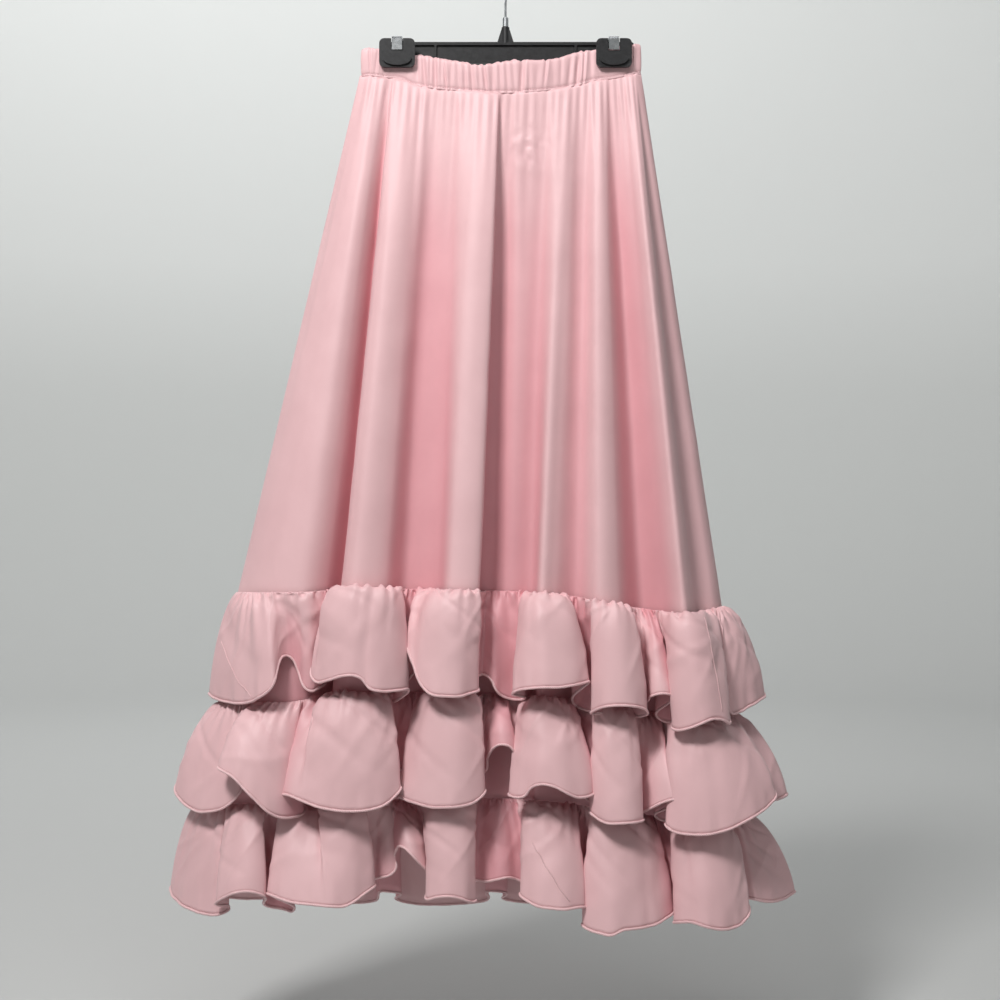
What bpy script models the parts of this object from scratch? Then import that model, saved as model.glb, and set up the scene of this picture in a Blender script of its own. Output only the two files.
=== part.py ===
"""Tiered maxi skirt on a clip hanger.

Metres, +Z up, X to the wearer-view right, the front of the skirt faces -Y.
The origin is the inside top of the hook's wire, where it rests on a rail.

Every size across and down the front is written in front-drawing units of
1.215 mm: "across" runs to the right and "down" runs downward, as on an
elevation of the front seen from a point 2 m in front of the hanger at half
height.  "out" is how far a station stands in front of the hanger's plane,
in millimetres (negative = behind it).
"""
import bpy
import bmesh
import numpy as np
from math import cos, sin, pi, radians

# ---------------------------------------------------------------- sizes
UNIT = 0.001215          # one front-drawing unit
EYE = 2.0                # distance the front drawing is seen from
EYE_DOWN = 500.0         # height of the eye, in units below the drawing's top
HOOK_ABOVE = 41.0        # hook's rest point above the drawing's top, units
AXIS_ACROSS = 505.5      # the hook's line across the drawing

CLOTH = 0.0012           # skirt cloth wall
BAND = 0.0030            # elastic casing wall: four layers and the elastic
SEAM_GAP = 0.0003        # pieces are this far apart at seams
RUFFLE_SEAM = 0.0006     # ruffle head stands this far off the body
CASING_GAP = 1.0         # base starts this many units below the casing
FOLD_ROOM = 0.0042       # hem stations stay this far apart across, so walls never meet
HALF_VALLEY = 2.2        # half the floor of a narrow valley between two lobes, units
DEPTH_EASE = 0.72        # folds open quickly below the gathered waist
LOWER_FLARE = 0.325      # widening of the hidden base below tier 1's seam

# rows of the skirt, as q: 0 casing seam, 1 tier 1 seam, then tiers 2 and 3
Q_TIER = {1: 1.0, 2: 1.21, 3: 1.42}

# ------------------------------------------------- waist, columns in units
# across, casing top, casing seam, out at top, out at seam (mm)
WAIST = [
    (361, 50, 77, 9.0, 8.5),
    (368, 48, 76, 12.0, 12.0),
    (385, 50, 78, 12.6, 13.0),
    (400, 52, 79, 12.6, 13.0),
    (412, 54, 85, 12.8, 13.4),
    (427, 56, 88, 16.0, 16.5),
    (443, 59, 90, 20.0, 19.5),
    (462, 62, 91, 21.5, 21.0),
    (481, 65, 92.5, 22.0, 21.0),
    (500, 62, 93.5, 21.5, 21.0),
    (520, 60, 93, 21.5, 21.0),
    (545, 60, 91, 20.5, 20.0),
    (562, 57, 89, 18.0, 18.0),
    (578, 52, 86, 15.0, 15.5),
    (596, 50, 81, 12.6, 13.0),
    (613, 48, 79, 12.6, 13.0),
    (627, 45, 76, 12.6, 13.0),
    (636, 44, 74, 12.0, 12.0),
    (641, 45, 75, 9.0, 8.5),
]
BACK_WAIST_OUT = 5.4      # back layer of the casing, just in front of the bar

# ------------------------------------------------------------ body folds
# name, across at waist, fold at waist (mm), across at tier 1, out at tier 1 (mm)
FRONT_FOLDS = [
    ("left side seam",   360, 0.0, 238, 0),
    ("left turn",        363, 0.5, 246, 24),
    ("left panel",       370, 1.0, 275, 52),
    ("left panel crest", 379, 1.5, 308, 62),
    ("flank",            390, 0.0, 333, 50),
    ("valley A",         396, -1.5, 352, 28),
    ("fold A edge",      399, 0.5, 348, 62),
    ("fold A crest",     405, 2.5, 358, 80),
    ("fold A slope",     416, 1.0, 380, 66),
    ("valley B",         437, -1.5, 403, 42),
    ("rise",             458, 0.5, 432, 57),
    ("fold B crest",     490, 3.0, 463, 85),
    ("fold B edge",      500, 2.0, 480, 76),
    ("valley C",         502, -2.0, 477, 44),
    ("valley C right",   510, -2.5, 493, 38),
    ("small fold",       524, 0.5, 510, 50),
    ("valley D",         546, -2.0, 529, 42),
    ("fold C",           566, 2.5, 542, 68),
    ("fold C slope",     575, 0.5, 556, 57),
    ("flat",             587, 0.0, 580, 53),
    ("fold D",           597, 2.0, 601, 74),
    ("fold D slope",     604, 0.5, 616, 60),
    ("valley E",         611, -1.5, 638, 30),
    ("fold E rise",      620, 0.0, 658, 46),
    ("fold E crest",     629, 1.5, 681, 70),
    ("fold E edge",      633, 0.5, 688, 58),
    ("valley F",         636, -1.0, 697, 28),
    ("right turn",       639, 0.0, 715, 22),
    ("right side seam",  641, 0.0, 722, 0),
]
# the back, from the right side seam round to the left one; out is negative
BACK_FOLDS = [
    ("right turn",       639, 0.0, 716, -24),
    ("right panel",      630, 0.5, 694, -50),
    ("valley G",         612, -1.0, 664, -38),
    ("fold G",           590, 2.0, 632, -64),
    ("fold G slope",     570, 0.5, 604, -62),
    ("valley H",         548, -1.5, 574, -42),
    ("fold H",           520, 2.0, 540, -70),
    ("fold H slope",     500, 0.5, 508, -70),
    ("valley I",         478, -1.5, 478, -46),
    ("fold I",           452, 2.0, 440, -66),
    ("fold I slope",     434, 0.5, 408, -72),
    ("valley J",         416, -1.5, 376, -44),
    ("fold J",           399, 1.5, 338, -62),
    ("fold J slope",     385, 0.5, 300, -60),
    ("left back turn",   366, 0.0, 258, -34),
]
# height of the tier seams: across, tier 1, tier 2, tier 3 (front); tier 3 also
# sets the lower edge of the base
SEAMS = [
    (200, 592, 702, 803),
    (300, 592, 702, 803),
    (350, 588, 692, 800),
    (440, 589, 692, 798),
    (520, 591, 694, 798),
    (570, 595, 698, 802),
    (620, 605, 706, 812),
    (680, 613, 718, 820),
    (730, 606, 712, 812),
    (780, 606, 712, 812),
]
BACK_SEAM_DROP = 8.0      # the back seams hang this many units lower at centre

# ------------------------------------------------------------ ruffle folds
# One row for each fold of a ruffle: name, the stretch of the tier seam that it
# hangs from (across, from and to), how far its head puffs above the seam
# (units), and the stations that its hem passes through: (across, down, out).
TIER_1 = [
    ("left lobe",      238, 262, 0, [(209, 694, 0), (222, 700, 34), (238, 703, 62), (254, 700, 80)]),
    ("arch",           266, 316, 0, [(270, 686, 87), (283, 655, 95), (298, 669, 86), (308, 690, 70)]),
    ("recess 1",       326, 326, 0, [(314, 688, 56)]),
    ("lobe 2",         340, 396, 8, [(320, 679, 92), (334, 677, 110), (352, 675, 118), (372, 689, 116), (391, 690, 108), (404, 688, 90)]),
    ("recess 2",       403, 403, 0, [(408, 676, 56)]),
    ("lobe 3",         416, 476, 4, [(413, 648, 78), (420, 678, 98), (432, 693, 108), (453, 696, 114), (474, 691, 100)]),
    ("recess 3",       482, 514, 0, [(482, 675, 64), (496, 688, 57), (508, 697, 64)]),
    ("lobe 4",         524, 566, 5, [(516, 691, 88), (530, 688, 106), (551, 687, 112), (573, 683, 106), (586, 683, 88)]),
    ("recess 4",       578, 578, 0, [(592, 704, 56)]),
    ("lobe 5",         592, 624, 6, [(598, 709, 84), (608, 706, 103), (624, 705, 110), (641, 707, 94)]),
    ("fold 5",         632, 650, 0, [(649, 703, 62), (660, 695, 74)]),
    ("recess 5",       657, 657, 0, [(667, 706, 56)]),
    ("lobe 6",         664, 706, 3, [(674, 725, 80), (686, 729, 100), (706, 722, 106), (726, 720, 86)]),
    ("right lobe",     710, 722, 5, [(735, 714, 58), (751, 707, 40), (765, 697, 0)]),
]
TIER_2 = [
    ("left curl",      218, 248, 0, [(175, 784, 0), (184, 801, 26), (202, 811, 50), (215, 800, 64)]),
    ("lobe 1",         254, 298, 0, [(222, 772, 86), (236, 779, 98), (254, 797, 106), (270, 815, 103), (281, 813, 88)]),
    ("recess 1",       305, 305, 0, [(287, 806, 68)]),
    ("lobe 2",         312, 380, 7, [(293, 797, 90), (307, 800, 107), (330, 809, 116), (356, 812, 118), (384, 804, 108), (399, 790, 90)]),
    ("recess 2",       388, 388, 0, [(405, 776, 66)]),
    ("inner fold",     404, 404, 0, [(414, 774, 80)]),
    ("lobe 3",         416, 476, 4, [(421, 796, 84), (430, 805, 102), (445, 807, 108), (464, 804, 105), (481, 793, 86)]),
    ("recess 3",       482, 482, 0, [(487, 778, 60)]),
    ("tube",           492, 516, 0, [(495, 756, 70), (504, 746, 78), (512, 758, 68)]),
    ("lobe 4",         524, 566, 4, [(518, 788, 78), (528, 796, 95), (546, 785, 107), (570, 796, 105), (587, 793, 86)]),
    ("recess 4",       580, 580, 0, [(594, 802, 60)]),
    ("lobe 5",         594, 626, 4, [(600, 816, 84), (610, 822, 102), (624, 821, 106), (640, 820, 92)]),
    ("fold 5",         636, 652, 0, [(647, 811, 70), (657, 803, 84)]),
    ("recess 5",       657, 662, 0, [(665, 814, 62)]),
    ("lobe 6",         670, 722, 3, [(672, 828, 84), (686, 833, 98), (708, 834, 100), (735, 826, 88), (758, 811, 68), (772, 797, 46)]),
    ("right side",     730, 730, 0, [(781, 796, 20), (787, 793, 0)]),
]
TIER_3 = [
    ("left lobe",      200, 226, 0, [(170, 889, 0), (177, 902, 26), (194, 910, 50), (210, 912, 68)]),
    ("lobe 1",         234, 262, 0, [(219, 903, 84), (231, 894, 97), (248, 891, 99), (261, 894, 90)]),
    ("recess 1",       269, 269, 0, [(267, 898, 72)]),
    ("lobe 2",         280, 362, 5, [(274, 895, 90), (288, 899, 107), (310, 904, 114), (338, 906, 115), (358, 900, 105), (371, 887, 86)]),
    ("recess 2",       370, 386, 0, [(377, 880, 64), (389, 876, 64)]),
    ("twist",          394, 410, 0, [(400, 852, 80), (413, 858, 80)]),
    ("lobe 3",         420, 470, 4, [(425, 888, 82), (434, 896, 97), (448, 896, 103), (460, 899, 102), (470, 900, 86)]),
    ("recess 3",       480, 512, 0, [(478, 881, 62), (492, 878, 62), (507, 877, 60)]),
    ("lobe 4",         520, 574, 4, [(518, 890, 78), (532, 902, 97), (548, 908, 107), (564, 909, 103), (576, 906, 84)]),
    ("recess 4",       582, 582, 0, [(582, 914, 64)]),
    ("lobe 5",         592, 644, 4, [(589, 927, 88), (600, 934, 105), (614, 935, 104), (632, 929, 90), (650, 925, 76), (662, 917, 60)]),
    ("lobe 6",         662, 720, 3, [(674, 921, 80), (692, 923, 99), (718, 929, 102), (738, 926, 86), (748, 912, 60)]),
    ("right lobe",     730, 742, 0, [(756, 897, 44), (768, 899, 34), (782, 898, 18), (795, 892, 0)]),
]
# the hidden back of each ruffle, from the right side seam round to the left
# one: rows as above, with the hem's drop measured from the tier's mean hem
BACK_LOBES = [
    ("right back",     716, 690, 0, [(0.965, 4, -26), (0.91, 8, -58), (0.87, 6, -80)]),
    ("recess a",       682, 668, 0, [(0.855, 0, -64), (0.835, -2, -62)]),
    ("lobe a",         660, 606, 3, [(0.845, 6, -86), (0.80, 10, -102), (0.74, 9, -100), (0.71, 4, -84)]),
    ("recess b",       598, 580, 0, [(0.72, -1, -64), (0.69, -2, -62)]),
    ("lobe b",         572, 520, 4, [(0.67, 6, -88), (0.63, 9, -104), (0.57, 10, -104), (0.53, 5, -88)]),
    ("recess c",       512, 490, 0, [(0.54, 0, -66), (0.505, -2, -64)]),
    ("lobe c",         482, 424, 4, [(0.51, 6, -90), (0.46, 10, -106), (0.39, 10, -106), (0.36, 5, -86)]),
    ("recess d",       414, 392, 0, [(0.37, 0, -66), (0.335, -2, -64)]),
    ("lobe d",         384, 330, 3, [(0.33, 7, -86), (0.28, 11, -100), (0.22, 11, -98), (0.19, 6, -80)]),
    ("recess e",       320, 300, 0, [(0.20, 2, -62), (0.165, 2, -60)]),
    ("left back",      290, 256, 2, [(0.16, 8, -78), (0.11, 10, -76), (0.055, 7, -48), (0.015, 2, -20)]),
]
# tier, mean hem (units down), extra drop of the back hem at its left
BACK_HEM = {1: (698, 4), 2: (802, 6), 3: (888, 10)}

# ------------------------------------------------------------------ hanger
BAR_X = (-0.150, 0.156)       # ends of the bar
BAR_Z = (-0.1276, -0.1020)    # its lower and upper edges
BAR_Y = 0.0045                # half its thickness
WEB_DEEP = 0.0026             # recess of the web on each face
RIM = 0.0036                  # rim round the web
RIB_X = (-0.0850, 0.0850)     # the two ribs across the web
BOSS_R, BOSS_TOP = 0.0048, -0.0834
COLLAR_R, COLLAR_Z = 0.0036, (-0.0831, -0.0716)
WIRE_R = 0.0014
HOOK_R = 0.0220               # hook's centreline radius
STEM_BOTTOM = -0.0713
CLIP_X = (-0.1306, 0.1306)
CLIP_W = 0.0430
CLIP_Z = (-0.1362, -0.1004)
JAW_FRONT_Y = (-0.0198, -0.0153)


# ---------------------------------------------------------------- helpers
def place(across, down, out):
    """Front-drawing station to metres."""
    k = 1.0 - out / 1000.0 / EYE
    z_eye = -(HOOK_ABOVE + EYE_DOWN) * UNIT
    return np.array([(across - AXIS_ACROSS) * UNIT * k,
                     -out / 1000.0,
                     z_eye - (down - EYE_DOWN) * UNIT * k])


def column(table, key, at, value):
    """Read one column of a table at a value of its key column, linearly."""
    rows = sorted(table, key=lambda r: r[key])
    return float(np.interp(at, [r[key] for r in rows], [r[value] for r in rows]))


def smooth(t):
    t = np.clip(t, 0.0, 1.0)
    return t * t * (3.0 - 2.0 * t)


def loop_curve(points, params):
    """Closed centripetal Catmull-Rom curve; param i is station i."""
    pts = np.asarray(points, float)
    n = len(pts)
    params = np.mod(np.asarray(params, float), n)
    i = np.floor(params).astype(int) % n
    f = (params - np.floor(params))[:, None]
    p0, p1, p2, p3 = pts[(i - 1) % n], pts[i], pts[(i + 1) % n], pts[(i + 2) % n]
    d1 = np.sqrt(np.linalg.norm(p1 - p0, axis=1))[:, None] + 1e-9
    d2 = np.sqrt(np.linalg.norm(p2 - p1, axis=1))[:, None] + 1e-9
    d3 = np.sqrt(np.linalg.norm(p3 - p2, axis=1))[:, None] + 1e-9
    m1 = (p2 - p1) + d2 * ((p1 - p0) / d1 - (p2 - p0) / (d1 + d2))
    m2 = (p2 - p1) + d2 * ((p3 - p2) / d3 - (p3 - p1) / (d2 + d3))
    f2, f3 = f * f, f * f * f
    return ((2 * f3 - 3 * f2 + 1) * p1 + (f3 - 2 * f2 + f) * m1
            + (-2 * f3 + 3 * f2) * p2 + (f3 - f2) * m2)


# ------------------------------------------------------------------- body
N_FRONT = len(FRONT_FOLDS) - 1          # station index of the right side seam
BODY = [dict(zip(("name", "waist", "fold", "tier", "out"), r))
        for r in FRONT_FOLDS + BACK_FOLDS]
N_BODY = len(BODY)


def body_station(index, q):
    """One fold line of the base at height q, in metres."""
    row = BODY[index]
    back = index > N_FRONT
    if back:
        out_w = BACK_WAIST_OUT - row["fold"] + 3.0 * smooth(1 - abs(row["waist"] - 505) / 150)
    else:
        out_w = column(WAIST, 0, row["waist"], 4) + row["fold"] - 1.0
    top = column(WAIST, 0, row["waist"], 2) + CASING_GAP
    flare = row["tier"] + (row["tier"] - row["waist"]) * LOWER_FLARE
    seam1 = column(SEAMS, 0, row["tier"], 1)
    seam2 = column(SEAMS, 0, row["tier"], 2)
    seam3 = column(SEAMS, 0, row["tier"], 3)
    if back:
        lower = BACK_SEAM_DROP * smooth(1 - abs(row["tier"] - 480) / 240)
        seam1, seam2, seam3 = seam1 + lower, seam2 + lower, seam3 + lower
    if q <= 1.0:
        across = row["waist"] + (row["tier"] - row["waist"]) * q
        out = out_w + (row["out"] - out_w) * q ** DEPTH_EASE
        down = top + (seam1 - top) * q
    else:
        s = (q - 1.0) / (Q_TIER[3] - 1.0)
        across = row["tier"] + (flare - row["tier"]) * s
        out = row["out"] * (1.0 - 0.10 * s)
        down = np.interp(q, [1.0, Q_TIER[2], Q_TIER[3]], [seam1, seam2, seam3])
    return place(across, down, out)


def body_loop(q, params):
    stations = [body_station(i, q) for i in range(N_BODY)]
    return loop_curve(stations, params)


def outward(points):
    """Unit normals in plan of a loop of points that runs left, front, right."""
    d = np.roll(points, -1, 0) - np.roll(points, 1, 0)
    n = np.stack([d[:, 1], -d[:, 0], np.zeros(len(d))], 1)
    return n / (np.linalg.norm(n, axis=1)[:, None] + 1e-12)


# heights of the rows that the base is built with
Q_ROWS = [0.0, 0.12, 0.30, 0.52, 0.76, 1.0, 1.21, 1.42]


# ---------------------------------------------------------------- ruffles
def seam_points(q, across, back):
    """Points of a tier seam: the base's nearest fold at each place across."""
    lo, hi = (N_FRONT, N_BODY) if back else (0, N_FRONT)
    grid = np.linspace(lo, hi, (hi - lo) * 16 + 1)
    pts = body_loop(q, grid)
    seen = pts[:, 0] / (UNIT * (1.0 + pts[:, 1] / EYE)) + AXIS_ACROSS
    found = []
    for u in across:
        s = seen - u
        hit = np.nonzero(s[:-1] * s[1:] <= 0.0)[0]
        if len(hit):
            i = hit[np.argmax(np.abs(pts[hit, 1]))]
            f = s[i] / (s[i] - s[i + 1]) if s[i] != s[i + 1] else 0.0
            found.append(grid[i] + (grid[i + 1] - grid[i]) * f)
        else:
            found.append(grid[int(np.argmin(np.abs(s)))])
    return np.array(found)


def in_order(values, least):
    """Nearest list that rises by at least a small step each time."""
    v = np.asarray(values, float) - np.arange(len(values)) * least
    blocks = []
    for x in v:
        blocks.append([x, 1])
        while len(blocks) > 1 and blocks[-2][0] > blocks[-1][0]:
            m2, n2 = blocks.pop()
            m1, n1 = blocks.pop()
            blocks.append([(m1 * n1 + m2 * n2) / (n1 + n2), n1 + n2])
    flat = np.concatenate([[m] * n for m, n in blocks])
    return flat + np.arange(len(values)) * least


def ruffle_stations(tier):
    """Hem stations round the whole ruffle, where each hangs from, and puffs."""
    front = {1: TIER_1, 2: TIER_2, 3: TIER_3}[tier]
    q = Q_TIER[tier]
    ends = body_loop(q, [0.0, float(N_FRONT)])
    seen_l, seen_r = ends[:, 0] / (UNIT * (1.0 + ends[:, 1] / EYE)) + AXIS_ACROSS
    hem, head, puff = [], [], []
    for name, h0, h1, lift, stations in front:
        if len(stations) == 1:
            (a, d, o), = stations
            stations = [(a - HALF_VALLEY, d, o), (a + HALF_VALLEY, d, o)]
        for j, (a, d, o) in enumerate(stations):
            f = j / (len(stations) - 1) if len(stations) > 1 else 0.5
            hem.append(place(a, d, o))
            head.append(h0 + (h1 - h0) * f)
            puff.append(lift)
    head[0], head[-1] = seen_l, seen_r
    n_front = len(hem) - 1
    left, right = front[0][4][0], front[-1][4][-1]
    mean, extra = BACK_HEM[tier]
    for name, h0, h1, lift, stations in BACK_LOBES:
        for j, (a, d, o) in enumerate(stations):
            f = j / (len(stations) - 1) if len(stations) > 1 else 0.5
            w = smooth(abs(a - 0.5) * 2.0)
            edge = left[1] + (right[1] - left[1]) * a
            down = (mean + extra * (1 - a)) * (1 - w) + edge * w + d
            hem.append(place(left[0] + (right[0] - left[0]) * a, down, o))
            h = h0 + (h1 - h0) * f
            head.append(seen_l + (seen_r - seen_l) * (h - 238.0) / (722.0 - 238.0))
            puff.append(lift)
    hem = np.array(hem)
    hem[:n_front + 1, 0] = in_order(hem[:n_front + 1, 0], FOLD_ROOM)
    hem[n_front:, 0] = -in_order(-hem[n_front:, 0], FOLD_ROOM)
    return hem, np.array(head), np.array(puff), n_front


def base_columns():
    """Columns of the base's two walls, as params round its loop."""
    def at_tier(p):
        return body_loop(1.0, p)

    def at_waist(p):
        return body_loop(0.0, p)
    return (trim_ends(station_params(at_tier, 0, N_FRONT, 0.028), at_waist),
            trim_ends(station_params(at_tier, N_FRONT, N_BODY, 0.034), at_waist))


def base_levels():
    """Loops of the base as built, with its flat facets, for keeping clear."""
    front, back = base_columns()
    cols = np.concatenate([front, back])
    levels = []
    for q in Q_ROWS[-4:]:
        ring = body_loop(q, cols)
        nxt = np.roll(ring, -1, 0)
        levels.append(np.concatenate([ring[:, None] + (nxt - ring)[:, None] * f
                                      for f in np.arange(0, 1, 0.125)[None, :, None]], 1).reshape(-1, 3))
    return levels


def level_height(points):
    """Height of points as if the tier seams were level, to compare them."""
    across = points[..., 0] / UNIT + AXIS_ACROSS
    seam = np.interp(across, [r[0] for r in SEAMS], [r[1] for r in SEAMS])
    drop = BACK_SEAM_DROP * smooth(1 - np.abs(across - 480) / 240)
    return points[..., 2] + (seam + np.where(points[..., 1] > 0, drop, 0.0)) * UNIT


def keep_clear(points, levels, gap):
    """Push points out of the base, in plan, to at least gap from it."""
    mean_z = np.array([level_height(lv).mean() for lv in levels])
    pos = np.interp(-level_height(points), -mean_z, np.arange(len(levels)))
    lo = np.clip(np.floor(pos).astype(int), 0, len(levels) - 2)
    f = (pos - lo)[:, None, None]
    stack = np.stack(levels)
    out = points.copy()
    for a in range(0, len(points), 400):
        sl = slice(a, a + 400)
        poly = stack[lo[sl]] * (1 - f[sl]) + stack[lo[sl] + 1] * f[sl]
        d = np.roll(poly, -1, 1) - np.roll(poly, 1, 1)
        nrm = np.stack([d[..., 1], -d[..., 0]], -1)
        nrm /= np.linalg.norm(nrm, axis=-1)[..., None] + 1e-12
        rel = points[sl, None, :2] - poly[..., :2]
        near = np.argmin((rel ** 2).sum(-1), 1)
        rows = np.arange(len(near))
        n2 = nrm[rows, near]
        signed = (rel[rows, near] * n2).sum(-1)
        g = gap[sl] if np.ndim(gap) else gap
        push = np.maximum(0.0, g - signed)
        out[sl, :2] += n2 * push[:, None]
        # and in front of (or behind) the folds just beside it
        face = np.where(points[sl, 1] > 0, 1.0, -1.0)
        beside = ((np.abs(poly[..., 0] - out[sl, None, 0]) < 0.005)
                  & (poly[..., 1] * face[:, None] > 0.02))
        proud = np.where(beside, poly[..., 1] * face[:, None], -1.0).max(1)
        inside = (out[sl, 0] > poly[..., 0].min(1) + 0.03) & (out[sl, 0] < poly[..., 0].max(1) - 0.03)
        short = inside & (proud > 0) & (out[sl, 1] * face < proud + g)
        out[sl, 1] = np.where(short, face * (proud + g), out[sl, 1])
    return out


def seam_params(tier, params, head_s, n_front):
    """Base params that a ruffle's columns hang from."""
    n = len(head_s)
    across = np.interp(np.mod(params, n), np.arange(n + 1), np.append(head_s, head_s[0]))
    back = np.mod(params, n) > n_front
    found = np.zeros(len(params))
    for side in (False, True):
        pick = back == side
        if pick.any():
            found[pick] = seam_points(Q_TIER[tier], across[pick], side)
    return found


def clear_chords(row, levels, gap):
    """Move a row's points out until its straight chords clear the base too."""
    row = row.copy()
    for _ in range(5):
        push = np.zeros_like(row)
        for f in (0.2, 0.5, 0.8):
            mid = row[:-1] * (1 - f) + row[1:] * f
            move = keep_clear(mid, levels, gap) - mid
            for part_of, weight in ((push[:-1], 1.0), (push[1:], 1.0)):
                bigger = np.linalg.norm(move, axis=1) > np.linalg.norm(part_of, axis=1)
                part_of[bigger] = move[bigger] * weight
        row += push
    return row


def spread(row, params, n, n_front, least):
    """Keep a row's columns in order across, so that folds never cross."""
    row = row.copy()
    front = np.mod(params, n) <= n_front
    for side, sign in ((front, 1.0), (~front, -1.0)):
        if side.sum() > 2:
            row[side, 0] = sign * in_order(sign * row[side, 0], least)
    return row


def ruffle_rows(tier, params, ts):
    """Grid of a ruffle's outer face: rows from head to hem."""
    hem_s, head_s, puff_s, n_front = ruffle_stations(tier)
    n = len(hem_s)
    hem = loop_curve(hem_s, params)
    head_p = seam_params(tier, params, head_s, n_front)
    puff = np.interp(np.mod(params, n), np.arange(n + 1), np.append(puff_s, puff_s[0]))
    q = Q_TIER[tier]
    fine = np.arange(0, N_BODY, 0.05)
    ring = body_loop(q, fine)
    kernel = np.hanning(61)
    kernel /= kernel.sum()
    soft = np.stack([np.convolve(np.concatenate([ring[-30:, k], ring[:, k], ring[:30, k]]), kernel, "valid")
                     for k in range(3)], 1)
    ring_n = outward(soft)
    idx = np.round(np.mod(head_p, N_BODY) / 0.05).astype(int) % len(fine)
    nrm = ring_n[idx]
    head = body_loop(q, head_p) + nrm * (RUFFLE_SEAM + CLOTH)
    drop = (head[:, 2] - hem[:, 2])[:, None]
    up = np.array([0.0, 0.0, 1.0])
    c1 = (head + nrm * (0.009 + 0.0006 * puff[:, None]) + (hem - head) * np.array([0.22, 0.22, 0.0])
          + up * (puff[:, None] * UNIT * 1.6 - 0.10 * drop))
    c2 = hem + (head - hem) * np.array([0.16, 0.16, 0.0]) + up * 0.42 * drop
    rows = []
    levels = base_levels()
    seam_z = head[:, 2].mean()
    next_q = Q_TIER.get(tier + 1)
    for t in ts:
        p = ((1 - t) ** 3 * head + 3 * (1 - t) ** 2 * t * c1
             + 3 * (1 - t) * t * t * c2 + t ** 3 * hem)
        if t < 0.02:
            p = clear_chords(keep_clear(p, levels, RUFFLE_SEAM + CLOTH), levels, RUFFLE_SEAM + CLOTH)
        else:
            gap = np.full(len(p), 0.0050 if t < 0.2 else 0.0085)
            if next_q:
                below = body_loop(next_q, head_p)[:, 2] + 0.010 - p[:, 2]
                gap = np.where(below > 0, 0.015 + 0.45 * below, gap)
            p = keep_clear(p, levels, gap)
            p = clear_chords(p, levels, 0.0030 if t < 0.2 else 0.0050)
            p = spread(p, params, n, n_front, 0.0007 + 0.0035 * t)
        rows.append(p)
    return np.array(rows)


# ------------------------------------------------------------ mesh makers
def material(name, colour, roughness, metallic=0.0):
    mat = bpy.data.materials.new(name)
    mat.use_nodes = True
    bsdf = mat.node_tree.nodes["Principled BSDF"]
    bsdf.inputs["Base Color"].default_value = (*colour, 1.0)
    bsdf.inputs["Roughness"].default_value = roughness
    bsdf.inputs["Metallic"].default_value = metallic
    return mat


def new_object(name, mesh, mat, sharp=40):
    obj = bpy.data.objects.new(name, mesh)
    bpy.context.scene.collection.objects.link(obj)
    mesh.materials.append(mat)
    mesh.shade_smooth()
    mesh.set_sharp_from_angle(angle=radians(sharp))
    return obj


def wall(name, surface, params, thickness, mat, around=0):
    """A cloth wall: its outer face is the surface at the columns given, from
    top to bottom, and its inner face is moved in.  around is the length of
    the whole loop where the wall closes on itself."""
    closed = around > 0
    if closed:
        ends = params[-1] - around, params[0] + around
    else:
        ends = params[0] - 0.4, params[-1] + 0.4
    wide = surface(np.concatenate([[ends[0]], params, [ends[1]]]))
    rows = wide[:, 1:-1]
    nr, nc, _ = rows.shape
    normal = np.cross(np.gradient(rows, axis=0), wide[:, 2:] - wide[:, :-2])
    normal /= np.linalg.norm(normal, axis=2)[..., None] + 1e-12
    if not closed:
        for col, p in ((0, params[0]), (nc - 1, params[-1])):
            near = surface(round(p) + np.array([-0.06, 0.0, 0.06]))
            side = np.cross(np.gradient(near[:, 1], axis=0), near[:, 2] - near[:, 0])
            normal[:, col] = side / (np.linalg.norm(side, axis=1)[:, None] + 1e-12)
    along = wide[:, 2:] - wide[:, 1:-1]
    flat = np.cross(np.gradient(rows, axis=0), along)
    flat /= np.linalg.norm(flat, axis=2)[..., None] + 1e-12
    mitre = 1.0 / np.clip((flat * normal).sum(2), 0.72, 1.0)
    inner = rows - normal * (thickness * mitre)[..., None]
    verts = np.concatenate([rows.reshape(-1, 3), inner.reshape(-1, 3)])
    faces = []
    last = nc if closed else nc - 1
    off = nr * nc
    for r in range(nr - 1):
        for c in range(last):
            a, b = r * nc + c, r * nc + (c + 1) % nc
            d, e = a + nc, b + nc
            faces.append((a, d, e, b))
            faces.append((off + a, off + b, off + e, off + d))
    for c in range(last):
        a, b = c, (c + 1) % nc
        faces.append((a, b, off + b, off + a))
        a, b = (nr - 1) * nc + c, (nr - 1) * nc + (c + 1) % nc
        faces.append((b, a, off + a, off + b))
    if not closed:
        for r in range(nr - 1):
            a, d = r * nc, (r + 1) * nc
            faces.append((a, off + a, off + d, d))
            a, d = r * nc + nc - 1, (r + 1) * nc + nc - 1
            faces.append((a, d, off + d, off + a))
    mesh = bpy.data.meshes.new(name)
    mesh.from_pydata([tuple(v) for v in verts], [], faces)
    bm = bmesh.new()
    bm.from_mesh(mesh)
    bmesh.ops.triangulate(bm, faces=bm.faces[:])
    bmesh.ops.recalc_face_normals(bm, faces=bm.faces[:])
    if bm.calc_volume(signed=True) < 0:
        bmesh.ops.reverse_faces(bm, faces=bm.faces[:])
    bm.to_mesh(mesh)
    bm.free()
    return new_object(name, mesh, mat, 70)


def station_params(curve, first, last, longest):
    """A column at each station, and more where stations are far apart."""
    out = []
    for i in range(first, last):
        a, b = curve(np.array([i, i + 1.0]))
        k = max(1, int(np.ceil(np.linalg.norm(b - a) / longest)))
        out += [i + j / k for j in range(k)]
    return out + [float(last)]


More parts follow.
